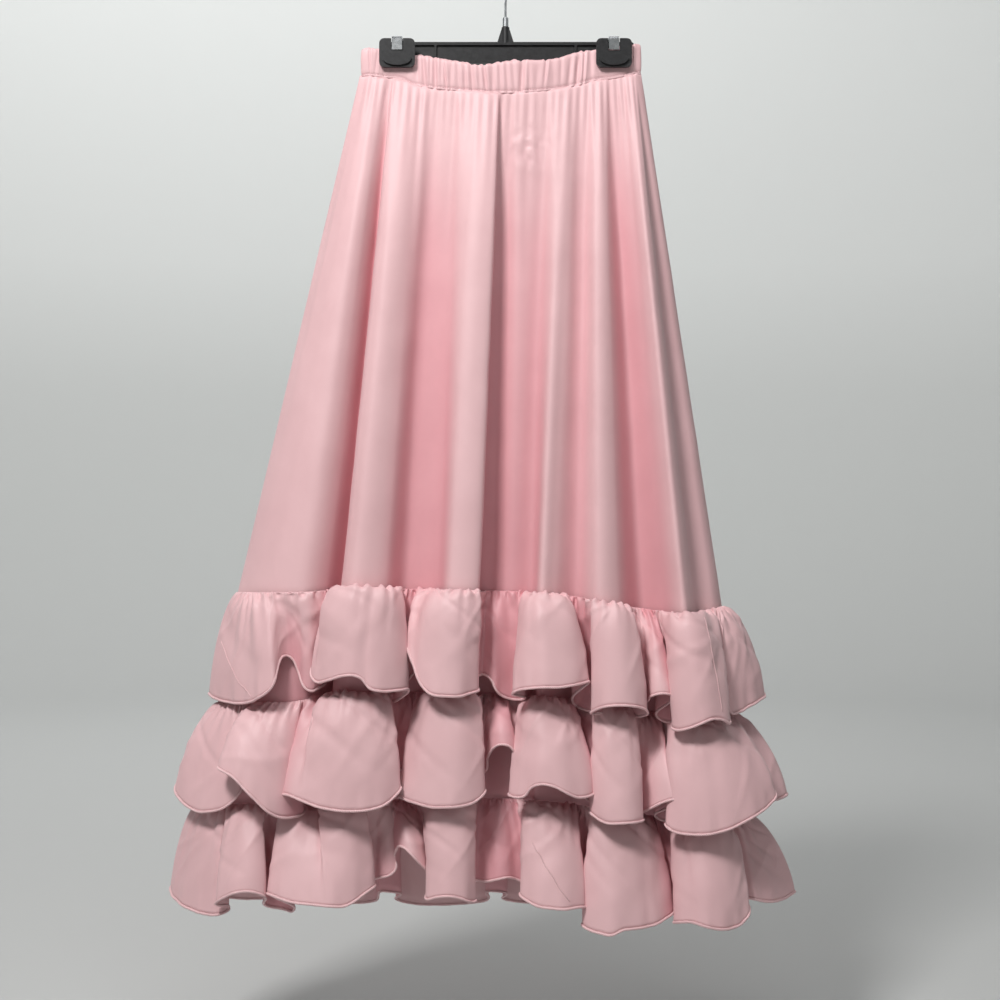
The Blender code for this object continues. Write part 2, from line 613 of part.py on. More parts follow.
def trim_ends(params, curve):
    """Bring the two side edges in by half the seam gap."""
    a, b = curve(np.array([params[0], params[0] + 0.05]))
    params[0] += 0.05 * 0.5 * SEAM_GAP / np.linalg.norm(b - a)
    a, b = curve(np.array([params[-1] - 0.05, params[-1]]))
    params[-1] -= 0.05 * 0.5 * SEAM_GAP / np.linalg.norm(b - a)
    return np.array(params)


def prism(name, outline, axis, lo, hi, mat, bevel=0.0, segments=2):
    """Extrude a closed 2-D outline along an axis."""
    bm = bmesh.new()
    def point(a, b, c):
        return {"y": (a, c, b), "x": (c, a, b), "z": (a, b, c)}[axis]
    ring = [bm.verts.new(point(a, b, lo)) for a, b in outline]
    face = bm.faces.new(ring)
    ext = bmesh.ops.extrude_face_region(bm, geom=[face])
    moved = [g for g in ext["geom"] if isinstance(g, bmesh.types.BMVert)]
    shift = {"y": (0, hi - lo, 0), "x": (hi - lo, 0, 0), "z": (0, 0, hi - lo)}[axis]
    bmesh.ops.translate(bm, verts=moved, vec=shift)
    bmesh.ops.recalc_face_normals(bm, faces=bm.faces[:])
    mesh = bpy.data.meshes.new(name)
    bm.to_mesh(mesh)
    bm.free()
    obj = new_object(name, mesh, mat)
    if bevel:
        mod = obj.modifiers.new("edge", "BEVEL")
        mod.width = bevel
        mod.segments = segments
        mod.limit_method = "ANGLE"
        mod.angle_limit = radians(40)
    return obj


def cut(obj, cutter, operation="DIFFERENCE"):
    cutter.hide_render = True
    cutter.display_type = "WIRE"
    mod = obj.modifiers.new("cut", "BOOLEAN")
    mod.operation = operation
    mod.solver = "EXACT"
    mod.object = cutter


def rounded(x0, x1, z0, z1, r, steps=3):
    """Outline of a rectangle with round corners."""
    pts = []
    for cx, cz, a0 in ((x1 - r, z1 - r, 0), (x0 + r, z1 - r, 90), (x0 + r, z0 + r, 180), (x1 - r, z0 + r, 270)):
        for k in range(steps + 1):
            a = radians(a0 + 90 * k / steps)
            pts.append((cx + r * cos(a), cz + r * sin(a)))
    return pts


# ------------------------------------------------------------------ build
def build_cloth(mats):
    pink = mats["cloth"]
    # casing: a closed flattened ring from its top edge to the casing seam
    front = [(a, t, s, ot, os_) for a, t, s, ot, os_ in WAIST]
    ring_top = [place(a, t, ot) for a, t, s, ot, os_ in front]
    ring_low = [place(a, s, os_) for a, t, s, ot, os_ in front]
    back = [r for r in reversed(front[1:-1])][::1]
    for a, t, s, ot, os_ in back:
        bow = 0.0
        ring_top.append(place(a, t, BACK_WAIST_OUT))
        ring_low.append(place(a, s, BACK_WAIST_OUT))
    n = len(ring_top)
    cols = []
    for i in range(n):
        k = 2 if i < len(front) - 1 and 3 < i < 13 else 1
        cols += [i + j / k for j in range(k)]
    cols = np.array(cols)

    def casing(p):
        top, low = loop_curve(ring_top, p), loop_curve(ring_low, p)
        return np.array([top + (low - top) * f for f in (0.0, 0.5, 1.0)])
    wall("waistband", casing, cols, BAND, pink, around=n)

    # base of the skirt, front and back, from the casing seam to tier 3's seam
    def base(p):
        return np.array([body_loop(q, p) for q in Q_ROWS])
    front_cols, back_cols = base_columns()
    wall("skirt_front", base, front_cols, CLOTH, pink)
    wall("skirt_back", base, back_cols, CLOTH, pink)

    # three ruffles, each in a front and a back piece joined at the side seams
    for tier in (1, 2, 3):
        hem_s, head_s, puff_s, n_front = ruffle_stations(tier)
        total = len(hem_s)

        def curve(p, stations=hem_s):
            return loop_curve(stations, p)

        def seam(p, heads=head_s, t=tier, k=n_front):
            return body_loop(Q_TIER[t], seam_params(t, p, heads, k))

        def ruffle_front(p, t=tier):
            return ruffle_rows(t, p, [0.0, 0.14, 0.42, 0.72, 1.0])

        def ruffle_back(p, t=tier):
            return ruffle_rows(t, p, [0.0, 0.16, 0.56, 1.0])
        params = trim_ends(station_params(curve, 0, n_front, 0.036), seam)
        wall("ruffle_%d_front" % tier, ruffle_front, params, CLOTH, pink)
        params = trim_ends(station_params(curve, n_front, total, 0.044), seam)
        wall("ruffle_%d_back" % tier, ruffle_back, params, CLOTH, pink)


def build_hanger(mats):
    black, steel = mats["plastic"], mats["steel"]
    x0, x1 = BAR_X
    z0, z1 = BAR_Z
    bar = prism("hanger_bar", rounded(x0, x1, z0, z1, 0.004), "y", -BAR_Y, BAR_Y, black)
    spans = [(x0 + RIM, RIB_X[0] - 0.0012), (RIB_X[0] + 0.0012, RIB_X[1] - 0.0012), (RIB_X[1] + 0.0012, x1 - RIM)]
    for i, (a, b) in enumerate(spans):
        for side in (-1, 1):
            y_in, y_out = side * (BAR_Y - WEB_DEEP), side * (BAR_Y + 0.002)
            pocket = prism("pocket_%d_%s" % (i, "front" if side < 0 else "back"),
                           rounded(a, b, z0 + RIM, z1 - RIM, 0.0015),
                           "y", min(y_in, y_out), max(y_in, y_out), black)
            cut(bar, pocket)
    gusset = prism("gusset", [(-0.0105, z1 - 0.002), (0.0105, z1 - 0.002), (0.0050, BOSS_TOP - 0.003), (-0.0050, BOSS_TOP - 0.003)],
                   "y", -0.0032, 0.0032, black)
    cut(bar, gusset, "UNION")
    ring = [(BOSS_R * cos(2 * pi * k / 20), BOSS_R * sin(2 * pi * k / 20)) for k in range(20)]
    boss = prism("boss", ring, "z", z1 - 0.001, BOSS_TOP, black)
    cut(bar, boss, "UNION")

    ring = [(COLLAR_R * cos(2 * pi * k / 20), COLLAR_R * sin(2 * pi * k / 20)) for k in range(20)]
    prism("hook_collar", ring, "z", COLLAR_Z[0], COLLAR_Z[1], steel, 0.0006)

    # wire hook: straight stem, a bend out to the right, then round over the top
    centre = -(HOOK_R - WIRE_R)
    pts = [(0.0, STEM_BOTTOM), (0.0, STEM_BOTTOM + 0.008), (0.0, STEM_BOTTOM + 0.014)]
    a0 = radians(-48)
    start = np.array([0.0, STEM_BOTTOM + 0.018])
    end = np.array([HOOK_R * cos(a0), centre + HOOK_R * sin(a0)])
    c1 = start + np.array([0.0, 0.010])
    c2 = end - 0.011 * np.array([-sin(a0), cos(a0)])
    for k in range(9):
        t = k / 8
        p = (1 - t) ** 3 * start + 3 * (1 - t) ** 2 * t * c1 + 3 * (1 - t) * t * t * c2 + t ** 3 * end
        pts.append(tuple(p))
    for k in range(1, 37):
        a = a0 + radians(252) * k / 36
        pts.append((HOOK_R * cos(a), centre + HOOK_R * sin(a)))
    curve = bpy.data.curves.new("hook", "CURVE")
    curve.dimensions = "3D"
    curve.bevel_depth = WIRE_R
    curve.bevel_resolution = 3
    curve.render_resolution_u = 0
    curve.use_fill_caps = True
    spline = curve.splines.new("POLY")
    spline.points.add(len(pts) - 1)
    for point, (x, z) in zip(spline.points, pts):
        point.co = (x, 0.0, z, 1.0)
    hook = bpy.data.objects.new("hook", curve)
    bpy.context.scene.collection.objects.link(hook)
    curve.materials.append(steel)

    for side, cx in (("left", CLIP_X[0]), ("right", CLIP_X[1])):
        w = CLIP_W / 2
        zb, zt = CLIP_Z
        yf, yb = JAW_FRONT_Y
        # front jaw: plate with a slot at its top for the spring, and an oval pad
        jaw = prism("clip_%s_front_jaw" % side, rounded(cx - w, cx + w, zb, zt - 0.0012, 0.006, 4), "y", yf, yb, black)
        slot = prism("slot_%s" % side, rounded(cx - 0.0072, cx + 0.0072, zt - 0.0160, zt + 0.006, 0.001), "y", yf - 0.002, yb + 0.002, black)
        cut(jaw, slot)
        oval = [(cx + 0.0172 * cos(2 * pi * k / 28), zb + 0.0098 + 0.0080 * sin(2 * pi * k / 28)) for k in range(28)]
        pad = prism("pad_%s" % side, oval, "y", yf - 0.0024, yf + 0.001, black)
        cut(jaw, pad, "UNION")
        # back jaw: plate behind the bar, with a foot that turns forward below it
        foot = [(BAR_Y + 0.0003, zt - 0.0012), (BAR_Y + 0.0042, zt - 0.0012), (BAR_Y + 0.0042, zb + 0.001),
                (BAR_Y + 0.0030, zb), (-0.0046, zb), (-0.0046, BAR_Z[0] - 0.0006), (BAR_Y + 0.0003, BAR_Z[0] - 0.0006)]
        prism("clip_%s_back_jaw" % side, foot, "x", cx - w, cx + w, black)
        # spring: a steel strip bent over the top, from one jaw to the other
        ys0, ys1 = yf - 0.0010, BAR_Y + 0.0058
        th = 0.0009
        strip = [(ys0, zt - 0.0150), (ys0 + th, zt - 0.0150), (ys0 + th, zt - 0.0022), (ys0 + th + 0.0012, zt + 0.0002),
                 (ys1 - 0.0012, zt + 0.0002), (ys1, zt - 0.0022), (ys1, zt - 0.0150), (ys1 + th, zt - 0.0150),
                 (ys1 + th, zt - 0.0018), (ys1 - 0.0008, zt + 0.0002 + th), (ys0 + th + 0.0008, zt + 0.0002 + th), (ys0, zt - 0.0018)]
        prism("clip_%s_spring" % side, strip, "x", cx - 0.0062, cx + 0.0062, steel)


def main():
    for obj in list(bpy.data.objects):
        bpy.data.objects.remove(obj, do_unlink=True)
    mats = {
        "cloth": material("rose_cloth", (0.80, 0.53, 0.56), 0.62),
        "plastic": material("black_plastic", (0.018, 0.018, 0.020), 0.38),
        "steel": material("bright_steel", (0.62, 0.64, 0.66), 0.28, 1.0),
    }
    build_cloth(mats)
    build_hanger(mats)


main()
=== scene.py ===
"""Looks of a tiered maxi skirt on a clip hanger: thin cloth shells on the
solids' own form, with the gathers, creases, rolled hems and stitches, and the
finish of every surface.  Metres, +Z up, origin at the top inside the hook.

The fold tables give their stations on a front drawing, as the solids do: one
drawing unit is UNIT metres at the hanger's plane, "across" runs to the right,
"down" runs downward, and "out" is millimetres in front of that plane.
"""
from math import cos, sin, pi, radians
import bpy
import bmesh
import numpy as np
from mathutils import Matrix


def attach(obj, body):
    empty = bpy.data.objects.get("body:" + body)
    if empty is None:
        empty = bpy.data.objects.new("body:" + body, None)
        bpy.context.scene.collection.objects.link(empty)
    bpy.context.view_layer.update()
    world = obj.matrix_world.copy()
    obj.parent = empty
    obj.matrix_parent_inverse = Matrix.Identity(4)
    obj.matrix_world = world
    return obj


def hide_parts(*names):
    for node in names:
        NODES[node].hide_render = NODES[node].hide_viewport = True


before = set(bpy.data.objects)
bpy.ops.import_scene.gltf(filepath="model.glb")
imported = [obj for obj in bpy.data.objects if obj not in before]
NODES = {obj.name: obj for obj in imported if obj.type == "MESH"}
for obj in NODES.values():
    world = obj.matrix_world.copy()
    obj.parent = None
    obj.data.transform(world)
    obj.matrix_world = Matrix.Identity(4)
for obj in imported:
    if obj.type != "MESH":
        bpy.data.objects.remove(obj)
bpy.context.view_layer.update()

# ---------------------------------------------------------------- sizes
UNIT = 0.001215          # one front-drawing unit
EYE = 2.0                # distance the front drawing is seen from
EYE_DOWN = 500.0         # height of the eye, in units below the drawing's top
HOOK_ABOVE = 41.0        # hook's rest point above the drawing's top, units
AXIS_ACROSS = 505.5      # the hook's line across the drawing

CLOTH = 0.0012           # skirt cloth wall
BAND = 0.0030            # elastic casing wall: four layers and the elastic
SEAM_GAP = 0.0003        # pieces are this far apart at seams
RUFFLE_SEAM = 0.0006     # ruffle head stands this far off the body
CASING_GAP = -1.3        # base starts inside the casing's lower edge, units
FOLD_CRISP = 0.26        # how much further the front folds stand out and in, below the casing
DRAWN_IN = 9.0           # hidden base below tier 1's seam hangs this much further in, mm
DEPTH_EASE = 0.72        # folds open quickly below the gathered waist
LOWER_FLARE = 0.325      # widening of the hidden base below tier 1's seam

# rows of the skirt, as q: 0 casing seam, 1 tier 1 seam, then tiers 2 and 3
Q_TIER = {1: 1.0, 2: 1.21, 3: 1.42}

# ------------------------------------------------- waist, columns in units
# across, casing top, casing seam, out at top, out at seam (mm)
WAIST = [
    (361, 50, 77, 9.0, 8.5),
    (368, 48, 76, 12.0, 12.0),
    (385, 50, 78, 12.6, 13.0),
    (400, 52, 79, 12.6, 13.0),
    (412, 54, 85, 12.8, 13.4),
    (427, 56, 88, 16.0, 16.5),
    (443, 59, 90, 20.0, 19.5),
    (462, 62, 91, 21.5, 21.0),
    (481, 65, 92.5, 22.0, 21.0),
    (500, 62, 93.5, 21.5, 21.0),
    (520, 60, 93, 21.5, 21.0),
    (545, 60, 91, 20.5, 20.0),
    (562, 57, 89, 18.0, 18.0),
    (578, 52, 86, 15.0, 15.5),
    (596, 50, 81, 12.6, 13.0),
    (613, 48, 79, 12.6, 13.0),
    (627, 45, 76, 12.6, 13.0),
    (636, 44, 74, 12.0, 12.0),
    (641, 45, 75, 9.0, 8.5),
]
BACK_WAIST_OUT = 5.4      # back layer of the casing, just in front of the bar

# ------------------------------------------------------------ body folds
# name, across at waist, fold at waist (mm), across at tier 1, out at tier 1 (mm)
FRONT_FOLDS = [
    ("left side seam",   360, 0.0, 238, 0),
    ("left turn",        363, 0.5, 246, 24),
    ("left panel",       370, 1.0, 275, 52),
    ("left panel crest", 377, 1.5, 303, 62),
    ("flank",            386, 0.0, 325, 50),
    ("valley A",         392, -1.5, 344, 27),
    ("fold A edge",      394, 0.5, 341, 62),
    ("fold A crest",     402, 2.5, 353, 79),
    ("fold A slope",     418, 1.0, 384, 70),
    ("valley B",         437, -1.5, 404, 44),
    ("rise",             456, 0.5, 437, 50),
    ("fold B crest",     476, 3.0, 450, 80),
    ("fold B edge",      498, 2.0, 478, 77),
    ("valley C",         501, -2.0, 475, 42),
    ("valley C right",   510, -2.5, 491, 37),
    ("small fold",       524, 0.5, 511, 45),
    ("valley D",         544, -2.0, 531, 44),
    ("fold C",           562, 2.5, 541, 68),
    ("fold C slope",     573, 0.5, 554, 62),
    ("flat",             586, 0.0, 576, 49),
    ("fold D",           594, 2.0, 599, 72),
    ("fold D slope",     603, 0.5, 617, 66),
    ("valley E",         611, -1.5, 640, 30),
    ("fold E rise",      621, 0.0, 663, 44),
    ("fold E crest",     630, 1.5, 684, 66),
    ("fold E edge",      634, 0.5, 691, 58),
    ("valley F",         636, -1.0, 698, 32),
    ("right turn",       639, 0.0, 715, 22),
    ("right side seam",  641, 0.0, 722, 0),
]
# the back, from the right side seam round to the left one; out is negative
BACK_FOLDS = [
    ("right turn",       639, 0.0, 716, -24),
    ("right panel",      630, 0.5, 694, -50),
    ("valley G",         612, -1.0, 664, -38),
    ("fold G",           590, 2.0, 632, -64),
    ("fold G slope",     570, 0.5, 604, -62),
    ("valley H",         548, -1.5, 574, -42),
    ("fold H",           520, 2.0, 540, -70),
    ("fold H slope",     500, 0.5, 508, -70),
    ("valley I",         478, -1.5, 478, -46),
    ("fold I",           452, 2.0, 440, -66),
    ("fold I slope",     434, 0.5, 408, -72),
    ("valley J",         416, -1.5, 376, -44),
    ("fold J",           399, 1.5, 338, -62),
    ("fold J slope",     385, 0.5, 300, -60),
    ("left back turn",   366, 0.0, 258, -34),
]
# height of the tier seams: across, tier 1, tier 2, tier 3 (front); tier 3 also
# sets the lower edge of the base
SEAMS = [
    (200, 592, 702, 803),
    (300, 592, 702, 803),
    (350, 588, 692, 800),
    (440, 589, 692, 798),
    (520, 591, 694, 798),
    (570, 595, 698, 802),
    (620, 605, 706, 812),
    (680, 613, 718, 820),
    (730, 606, 712, 812),
    (780, 606, 712, 812),
]
BACK_SEAM_DROP = 8.0      # the back seams hang this many units lower at centre

# ------------------------------------------------------------ ruffle folds
# One row for each fold of a ruffle: name, the stretch of the tier seam that it
# hangs from (across, from and to), how far its head puffs above the seam
# (units), and the stations that its hem passes through: (across, down, out).
TIER_1 = [
    ("left lobe",   238, 270, 0, [(209, 693, 0), (214, 697, 16), (224, 701, 38), (238, 703, 62), (252, 701, 80), (264, 694, 92), (272, 686, 94), (277, 671, 86)]),
    ("arch",        274, 314, 0, [(281, 658, 76), (287, 655, 68), (294, 661, 64), (299, 674, 66), (305, 688, 73), (312, 691, 74), (319, 687, 66)]),
    ("return 2",    318, 326, 0, [(326, 682, 57), (320, 676, 66)]),
    ("lobe 2",      328, 397, 9, [(311, 667, 78), (311, 675, 88), (317, 682, 97), (327, 680, 107), (340, 676, 115), (353, 675, 119), (362, 679, 117), (369, 688, 119), (382, 691, 116), (398, 690, 104), (409, 689, 90)]),
    ("recess 2",    399, 417, 0, [(403, 696, 75), (393, 701, 63), (403, 686, 52), (416, 668, 52), (419, 656, 62)]),
    ("lobe 3",      420, 475, 4, [(409, 645, 72), (405, 643, 82), (409, 653, 90), (414, 668, 98), (421, 685, 106), (431, 694, 113), (445, 696, 118), (459, 696, 116), (470, 693, 107), (479, 690, 95)]),
    ("recess 3",    477, 517, 0, [(474, 684, 80), (470, 677, 66), (478, 674, 58), (487, 675, 64), (492, 681, 70), (496, 690, 70), (503, 696, 64), (513, 699, 57), (523, 699, 58), (525, 697, 68)]),
    ("lobe 4",      520, 562, 5, [(516, 695, 79), (512, 694, 89), (517, 690, 99), (529, 688, 109), (543, 687, 115), (559, 687, 115), (572, 685, 109), (582, 683, 100), (590, 681, 89)]),
    ("recess 4",    565, 590, 0, [(582, 688, 77), (571, 698, 66), (577, 706, 57), (590, 709, 57), (602, 711, 66)]),
    ("lobe 5",      593, 621, 6, [(596, 713, 78), (591, 713, 89), (596, 709, 101), (606, 706, 111), (620, 705, 115), (634, 706, 111), (645, 709, 99)]),
    ("recess 5",    622, 632, 0, [(646, 714, 86), (638, 716, 73), (630, 713, 62), (637, 706, 58)]),
    ("fold 5",      634, 652, 0, [(645, 702, 68), (648, 698, 79), (653, 695, 87), (661, 693, 91), (669, 694, 87), (674, 697, 78)]),
    ("recess 6",    654, 660, 0, [(666, 704, 67), (655, 714, 58), (664, 721, 55), (677, 722, 60), (680, 724, 69)]),
    ("lobe 6",      662, 706, 4, [(673, 726, 78), (671, 728, 88), (677, 730, 98), (688, 728, 105), (699, 724, 109), (711, 719, 107), (721, 719, 99), (730, 723, 86)]),
    ("right lobe",  709, 722, 3, [(727, 712, 74), (720, 697, 64), (723, 690, 56), (727, 702, 58), (731, 713, 58), (739, 712, 52), (750, 706, 40), (760, 700, 24), (765, 696, 9), (764, 693, 0)]),
]
TIER_2 = [
    ("left curl",   218, 244, 0, [(181, 779, 0), (176, 786, 10), (177, 795, 22), (185, 804, 37), (197, 811, 52), (210, 811, 63), (222, 808, 70), (233, 800, 73), (242, 788, 69)]),
    ("curl back",   245, 251, 0, [(243, 779, 60), (235, 775, 66)]),
    ("lobe 1",      252, 300, 2, [(222, 768, 79), (217, 767, 90), (223, 771, 100), (233, 777, 107), (245, 790, 111), (257, 802, 111), (268, 812, 107), (280, 817, 100), (292, 817, 88)]),
    ("recess 1",    302, 307, 0, [(301, 814, 76), (304, 808, 64), (298, 804, 60), (290, 801, 70)]),
    ("lobe 2",      308, 380, 7, [(283, 797, 82), (280, 794, 92), (289, 795, 103), (301, 800, 111), (316, 806, 117), (335, 810, 120), (353, 811, 120), (372, 809, 116), (387, 803, 108), (401, 788, 94)]),
    ("recess 2",    382, 398, 0, [(396, 781, 80), (389, 775, 66), (393, 770, 56)]),
    ("inner fold",  400, 414, 0, [(400, 769, 60), (408, 771, 70), (416, 773, 77), (422, 775, 76), (424, 780, 66), (417, 784, 60)]),
    ("lobe 3",      418, 477, 4, [(406, 790, 68), (398, 795, 79), (405, 799, 90), (416, 803, 99), (432, 807, 107), (446, 807, 112), (460, 806, 111), (474, 802, 104), (485, 791, 90)]),
    ("recess 3",    479, 486, 0, [(479, 785, 76), (474, 779, 63), (482, 774, 54), (487, 768, 58)]),
    ("tube",        488, 518, 0, [(488, 757, 68), (492, 748, 77), (500, 744, 83), (510, 746, 83), (517, 757, 76), (514, 775, 66), (516, 786, 58), (521, 786, 66)]),
    ("lobe 4",      521, 566, 4, [(513, 791, 76), (508, 794, 86), (516, 797, 95), (524, 796, 101), (530, 788, 105), (540, 784, 111), (553, 786, 114), (567, 793, 113), (577, 797, 108), (588, 796, 99), (595, 792, 88)]),
    ("recess 4",    568, 590, 0, [(590, 790, 75), (582, 793, 63), (589, 800, 54), (600, 804, 56), (603, 808, 66)]),
    ("lobe 5",      593, 625, 5, [(594, 808, 77), (590, 811, 88), (597, 818, 99), (608, 823, 109), (622, 823, 113), (635, 822, 108), (643, 820, 96)]),
    ("recess 5",    627, 637, 0, [(639, 817, 82), (631, 813, 69), (634, 810, 60)]),
    ("fold 5",      639, 657, 0, [(641, 812, 68), (650, 808, 80), (662, 802, 89), (675, 799, 91), (676, 803, 82)]),
    ("recess 6",    659, 666, 0, [(667, 808, 70), (655, 814, 60), (662, 820, 54), (676, 820, 58), (682, 821, 67)]),
    ("lobe 6",      669, 722, 4, [(671, 822, 77), (666, 824, 87), (673, 831, 97), (688, 834, 105), (709, 834, 109), (731, 828, 105), (752, 817, 95), (767, 807, 81), (776, 796, 66), (772, 787, 54), (764, 785, 46)]),
    ("right side",  724, 734, 0, [(767, 791, 38), (773, 799, 30), (780, 798, 18), (787, 793, 0)]),
]
TIER_3 = [
    ("left lobe",   200, 226, 0, [(171, 886, 0), (172, 894, 14), (180, 903, 32), (193, 910, 50), (206, 914, 64), (219, 914, 73)]),
    ("recess 0",    228, 231, 0, [(229, 909, 65), (229, 905, 66)]),
    ("lobe 1",      233, 264, 2, [(218, 905, 77), (215, 903, 87), (222, 898, 96), (233, 893, 104), (246, 891, 108), (258, 893, 104), (267, 898, 94)]),
    ("recess 1",    266, 276, 0, [(263, 902, 80), (268, 906, 66), (281, 908, 58), (293, 911, 56), (293, 906, 66)]),
    ("lobe 2",      279, 362, 5, [(275, 897, 81), (267, 893, 93), (277, 897, 105), (292, 902, 113), (309, 904, 118), (330, 906, 120), (344, 906, 116), (357, 899, 108), (367, 891, 98), (374, 885, 86)]),
    ("recess 2",    365, 388, 0, [(369, 882, 74), (362, 880, 62), (369, 879, 58), (380, 877, 66), (389, 875, 71), (396, 868, 69)]),
    ("twist",       391, 415, 0, [(394, 856, 66), (397, 846, 74), (405, 848, 83), (414, 857, 86), (423, 866, 80), (429, 874, 68), (434, 880, 62)]),
    ("lobe 3",      420, 474, 4, [(432, 888, 72), (426, 894, 83), (427, 899, 94), (436, 897, 104), (448, 896, 110), (460, 898, 108), (471, 902, 98), (476, 900, 87)]),
    ("recess 3",    477, 516, 0, [(469, 893, 75), (466, 885, 63), (475, 880, 56), (486, 881, 62), (497, 879, 70), (508, 877, 68), (517, 879, 58), (527, 884, 58), (530, 888, 68)]),
    ("lobe 4",      520, 576, 4, [(523, 890, 79), (520, 894, 90), (528, 901, 101), (538, 906, 109), (550, 908, 113), (565, 909, 111), (577, 907, 103), (586, 906, 91)]),
    ("recess 4",    578, 589, 0, [(582, 902, 77), (573, 900, 64), (579, 905, 54), (590, 912, 55), (593, 917, 66)]),
    ("lobe 5",      592, 645, 4, [(585, 921, 78), (581, 924, 89), (590, 930, 100), (600, 933, 108), (611, 935, 112), (622, 930, 110), (637, 928, 104), (652, 925, 94), (664, 919, 82), (673, 911, 69)]),
    ("recess 5",    648, 661, 0, [(668, 904, 58), (661, 902, 50), (672, 908, 48), (684, 914, 54)]),
    ("lobe 6",      664, 720, 4, [(681, 918, 67), (673, 922, 80), (679, 922, 92), (691, 922, 102), (704, 926, 108), (718, 929, 107), (732, 928, 99), (743, 922, 87), (750, 909, 73)]),
    ("right lobe",  724, 742, 0, [(746, 900, 62), (740, 896, 52), (746, 897, 46), (755, 899, 48), (764, 901, 42), (774, 901, 30), (785, 898, 16), (795, 891, 0)]),
]
# the hidden back of each ruffle, from the right side seam round to the left
# one: rows as above, with the hem's drop measured from the tier's mean hem
BACK_LOBES = [
    ("right back",     716, 690, 0, [(0.965, 4, -26), (0.91, 8, -58), (0.87, 6, -80)]),
    ("recess a",       682, 668, 0, [(0.855, 0, -64), (0.835, -2, -62)]),
    ("lobe a",         660, 606, 3, [(0.845, 6, -86), (0.80, 10, -102), (0.74, 9, -100), (0.71, 4, -84)]),
    ("recess b",       598, 580, 0, [(0.72, -1, -64), (0.69, -2, -62)]),
    ("lobe b",         572, 520, 4, [(0.67, 6, -88), (0.63, 9, -104), (0.57, 10, -104), (0.53, 5, -88)]),
    ("recess c",       512, 490, 0, [(0.54, 0, -66), (0.505, -2, -64)]),
    ("lobe c",         482, 424, 4, [(0.51, 6, -90), (0.46, 10, -106), (0.39, 10, -106), (0.36, 5, -86)]),
    ("recess d",       414, 392, 0, [(0.37, 0, -66), (0.335, -2, -64)]),
    ("lobe d",         384, 330, 3, [(0.33, 7, -86), (0.28, 11, -100), (0.22, 11, -98), (0.19, 6, -80)]),
    ("recess e",       320, 300, 0, [(0.20, 2, -62), (0.165, 2, -60)]),
    ("left back",      290, 256, 2, [(0.16, 8, -78), (0.11, 10, -76), (0.055, 7, -48), (0.015, 2, -20)]),
]
# tier, mean hem (units down), extra drop of the back hem at its left
BACK_HEM = {1: (698, 4), 2: (802, 6), 3: (888, 10)}

# ------------------------------------------------------- the form of the cloth
def place(across, down, out):
    """Front-drawing station to metres."""
    k = 1.0 - out / 1000.0 / EYE
    z_eye = -(HOOK_ABOVE + EYE_DOWN) * UNIT
    return np.array([(across - AXIS_ACROSS) * UNIT * k,
                     -out / 1000.0,
                     z_eye - (down - EYE_DOWN) * UNIT * k])


def column(table, key, at, value):
    """Read one column of a table at a value of its key column, linearly."""
    rows = sorted(table, key=lambda r: r[key])
    return float(np.interp(at, [r[key] for r in rows], [r[value] for r in rows]))


def smooth(t):
    t = np.clip(t, 0.0, 1.0)
    return t * t * (3.0 - 2.0 * t)


def loop_curve(points, params):
    """Closed centripetal Catmull-Rom curve; param i is station i."""
    pts = np.asarray(points, float)
    n = len(pts)
    params = np.mod(np.asarray(params, float), n)
    i = np.floor(params).astype(int) % n
    f = (params - np.floor(params))[:, None]
    p0, p1, p2, p3 = pts[(i - 1) % n], pts[i], pts[(i + 1) % n], pts[(i + 2) % n]
    d1 = np.sqrt(np.linalg.norm(p1 - p0, axis=1))[:, None] + 1e-9
    d2 = np.sqrt(np.linalg.norm(p2 - p1, axis=1))[:, None] + 1e-9
    d3 = np.sqrt(np.linalg.norm(p3 - p2, axis=1))[:, None] + 1e-9
    m1 = (p2 - p1) + d2 * ((p1 - p0) / d1 - (p2 - p0) / (d1 + d2))
    m2 = (p2 - p1) + d2 * ((p3 - p2) / d3 - (p3 - p1) / (d2 + d3))
    f2, f3 = f * f, f * f * f
    return ((2 * f3 - 3 * f2 + 1) * p1 + (f3 - 2 * f2 + f) * m1
            + (-2 * f3 + 3 * f2) * p2 + (f3 - f2) * m2)


# ------------------------------------------------------------------- body
N_FRONT = len(FRONT_FOLDS) - 1          # station index of the right side seam
BODY = [dict(zip(("name", "waist", "fold", "tier", "out"), r))
        for r in FRONT_FOLDS + BACK_FOLDS]
N_BODY = len(BODY)


def crisp(row, q):
    """What a front fold adds to its depth at height q, in mm."""
    x = (row["tier"] - 480.0) / 242.0
    even = 57.0 * np.sqrt(max(0.0, 1.0 - x * x))
    edge = smooth((1.0 - abs(x)) / 0.16)
    return FOLD_CRISP * (row["out"] - even) * smooth(q / 0.35) * edge


